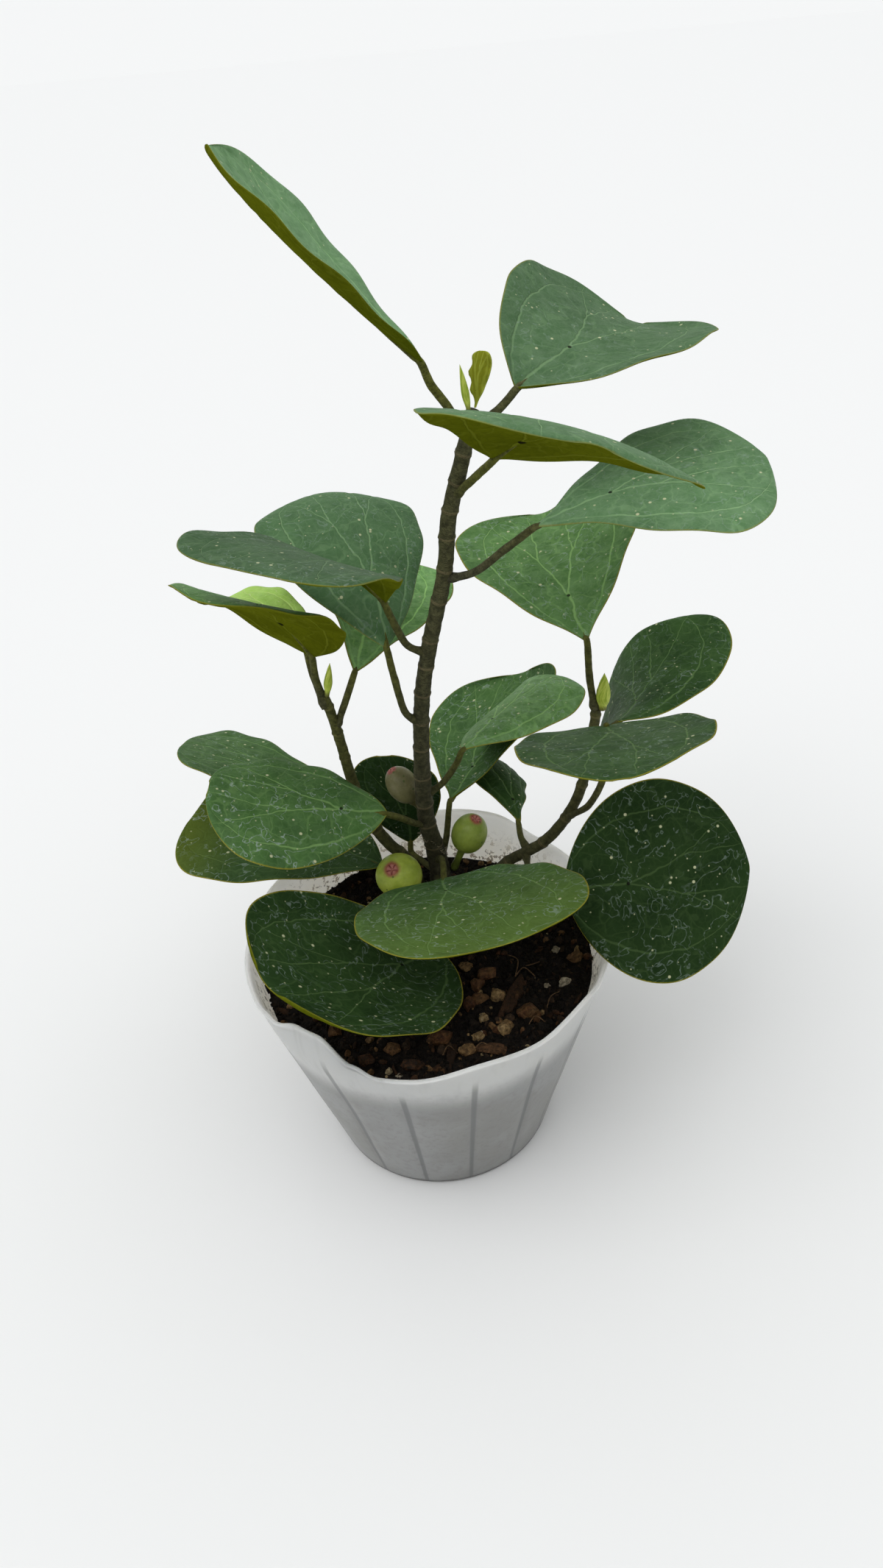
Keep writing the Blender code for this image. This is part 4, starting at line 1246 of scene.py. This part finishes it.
CRUMB_STOPS = ((0, (0.002, 0.0015, 0.001)), (0.75, (0.011, 0.008, 0.0055)), (1, (0.06, 0.036, 0.02)))
CHIP_STOPS = ((0, (0.012, 0.007, 0.004)), (0.6, (0.055, 0.026, 0.012)), (1, (0.13, 0.065, 0.03)))
STONE_STOPS = (
    (0, (0.02, 0.014, 0.009)),
    (0.3, (0.12, 0.05, 0.02)),
    (0.6, (0.22, 0.125, 0.05)),
    (0.8, (0.38, 0.25, 0.11)),
    (1, (0.52, 0.41, 0.24)),
)
PERLITE_STOPS = ((0, (0.26, 0.2, 0.13)), (1, (0.55, 0.47, 0.34)))
FIBRE_STOPS = ((0, (0.07, 0.035, 0.02)), (1, (0.26, 0.16, 0.08)))
crumb_finish = grit_finish("crumbs", CRUMB_STOPS)
chip_finish = grit_finish("bark chips", CHIP_STOPS)
stone_finish = grit_finish("stones", STONE_STOPS, 0.7, 0.35)
perlite_finish = grit_finish("perlite", PERLITE_STOPS)
fibre_finish = grit_finish("root fibres", FIBRE_STOPS)

# Each row: name, stretch, roughness, faces, pieces to the square metre, seed, smallest, largest, finish
SCATTERED = (
    ("crumbs", (1.0, 0.8, 0.6), 0.5, 1, 420000, 3, 0.45, 1.3, crumb_finish),
    ("lumps", (1.1, 0.85, 0.7), 0.6, 2, 30000, 5, 1.2, 2.6, crumb_finish),
    ("chips", (2.0, 0.7, 0.3), 0.4, 2, 16000, 8, 0.8, 2.1, chip_finish),
    ("stones", (1.1, 0.9, 0.75), 0.5, 2, 17000, 11, 0.6, 1.9, stone_finish),
    ("perlite", (1.1, 0.9, 0.8), 0.6, 2, 1800, 14, 0.4, 1.0, perlite_finish),
)
for label, stretch, roughness, fineness, density, seed, smallest, largest, material in SCATTERED:
    pattern = pebble_object(label + "_pattern", seed, fineness, stretch, roughness)
    values = {"Piece": pattern, "Density": density, "Seed": seed, "Finish": material}
    mesh = scattered("soil_" + label, soil_piece.data, Smallest=smallest, Largest=largest, **values)
    finish_piece(mesh, material, "growing_medium")
    mesh.set_sharp_from_angle(angle=math.radians(30))
    bpy.data.objects.remove(pattern)
    print(label, "triangles:", len(mesh.polygons))

# %% [markdown]
# Stones that were seen.
# The larger stones at the front are placed one by one: where they lie on the medium, how large they are,
# and how light. A bark chip stands among them, and a few dry root fibres lie across.

# %% Stones and fibres, one by one
PHOTO_WIDTH = 1200
PHOTO_HEIGHT = 2131

# Where each was seen, in pixels of the photograph, then its length, width, height, turn and shade
STONES = (
    (661, 1327, 7, 5, 4.5, 20, 0.35), (650, 1340, 5.5, 4.5, 4, 80, 0.4),
    (651, 1359, 5, 4, 3.5, 10, 0.45), (638, 1367, 5.5, 4.2, 3.6, 60, 0.3),
    (720, 1378, 7.5, 7, 6, 0, 0.4), (636, 1430, 5.5, 4.5, 4, 30, 0.6),
    (599, 1413, 9, 6.5, 5, 15, 0.35), (782, 1304, 5, 4, 3.5, 0, 0.5), (455, 1404, 5.5, 5, 4, 30, 0.4),
    (532, 1428, 6, 4.5, 4, 0, 0.5), (678, 1355, 6, 4.8, 4.2, -20, 0.75),
    (685, 1398, 7, 4.6, 4, 50, 0.72), (633, 1315, 5, 4, 3, 0, 0.7), (656, 1385, 3.6, 3, 2.6, 20, 0.85),
    (650, 1410, 4, 3.4, 2.8, -30, 0.75), (562, 1450, 6, 5, 4, 10, 0.12),
    (498, 1444, 5, 4, 3.5, 0, 0.12),
)
PERLITE = (
    (644, 1290, 2.8, 2.4, 2.2, 0, 1), (756, 1292, 2.6, 2.2, 2.0, 0, 0.7),
    (743, 1340, 2, 1.8, 1.6, 0, 0.6), (767, 1336, 3.6, 2.8, 2.4, 0, 1),
    (543, 1464, 2.6, 2.2, 2.0, 0, 0.9),
)
CHIPS = (
    (697, 1355, 17, 5, 4, 65, 0.5), (615, 1434, 10, 3, 2.5, 80, 0.3), (670, 1428, 9, 4, 3, 170, 0.9),
    (590, 1345, 9, 3, 2.5, 40, 0.4),
)
FIBRES = (
    ((728, 1330), (712, 1322), (700, 1330)),
    ((745, 1395), (728, 1388), (716, 1400)),
    ((690, 1300), (704, 1312), (700, 1330)),
    ((734, 1309), (722, 1318), (706, 1316)),
    ((670, 1428), (655, 1424), (642, 1432)),
    ((622, 1434), (610, 1428), (602, 1436)),
    ((760, 1350), (748, 1362), (742, 1378)),
)
FIBRE_LIFTS = (0.8, 2.4, 0.6)
FIBRE_RADIUS = 0.18


def on_soil(across, down):
    """The point of the medium seen at a pixel of the photograph, in millimetres."""
    reach = CAMERA_LENS / camera_data.sensor_width * PHOTO_HEIGHT
    ray = Vector((across - PHOTO_WIDTH / 2, PHOTO_HEIGHT / 2 - down, -reach))
    ray = camera.matrix_world.to_3x3() @ ray
    start = Vector(CAMERA_PLACE) / MM
    spot = start + ray * ((SOIL_LEVEL - start.z) / ray.z)
    for _ in range(3):
        spot = start + ray * ((soil_height(spot.x, spot.y) - start.z) / ray.z)
    return spot


def pebbles_mesh(name, rows, cuts):
    bm = bmesh.new()
    shades = []
    for number, (across, down, long, wide, high, turn, shade) in enumerate(rows):
        made = bmesh.ops.create_icosphere(bm, subdivisions=3, radius=0.5)["verts"]
        for vert in made:
            spot = chipped(vert.co * 2, number + 2, 0.45, cuts) / 2
            spot *= 1 + 0.05 * noise.noise(vert.co * 9 + Vector((number * 5, 0, 0)))
            vert.co = Vector((spot.x * long, spot.y * wide, spot.z * high)) * 1.15
        bmesh.ops.rotate(bm, verts=made, matrix=Matrix.Rotation(math.radians(turn), 3, "Z"))
        bmesh.ops.translate(bm, verts=made, vec=on_soil(across, down) + Vector((0, 0, high * 0.2)))
        shades += [shade] * len(made)
    bmesh.ops.scale(bm, vec=(MM, MM, MM), verts=bm.verts)
    mesh = bpy.data.meshes.new(name)
    bm.to_mesh(mesh)
    bm.free()
    mesh.attributes.new("shade", "FLOAT", "POINT").data.foreach_set("value", shades)
    return mesh


for label, rows, cuts, material in (
    ("seen_stones", STONES, 11, stone_finish),
    ("seen_perlite", PERLITE, 5, perlite_finish),
    ("seen_chips", CHIPS, 6, chip_finish),
):
    piece = finish_piece(pebbles_mesh(label, rows, cuts), material, "growing_medium")
    piece.data.set_sharp_from_angle(angle=math.radians(25))
fibre_parts = []
for number, places in enumerate(FIBRES):
    lifted = [on_soil(*seen) + Vector((0, 0, lift)) for seen, lift in zip(places, FIBRE_LIFTS)]
    rows = [(*spot, FIBRE_RADIUS) for spot in lifted]
    fibre_parts.append(sweep(smooth_path(rows, 0.7), 6, seed=number))
fibres = joined_mesh("root_fibres", fibre_parts)
fibres.attributes.new("shade", "FLOAT", "POINT").data.foreach_set("value", [0.6] * len(fibres.vertices))
finish_piece(fibres, fibre_finish, "growing_medium")
print("stones:", len(STONES), "perlite:", len(PERLITE), "chips:", len(CHIPS), "fibres:", len(FIBRES))
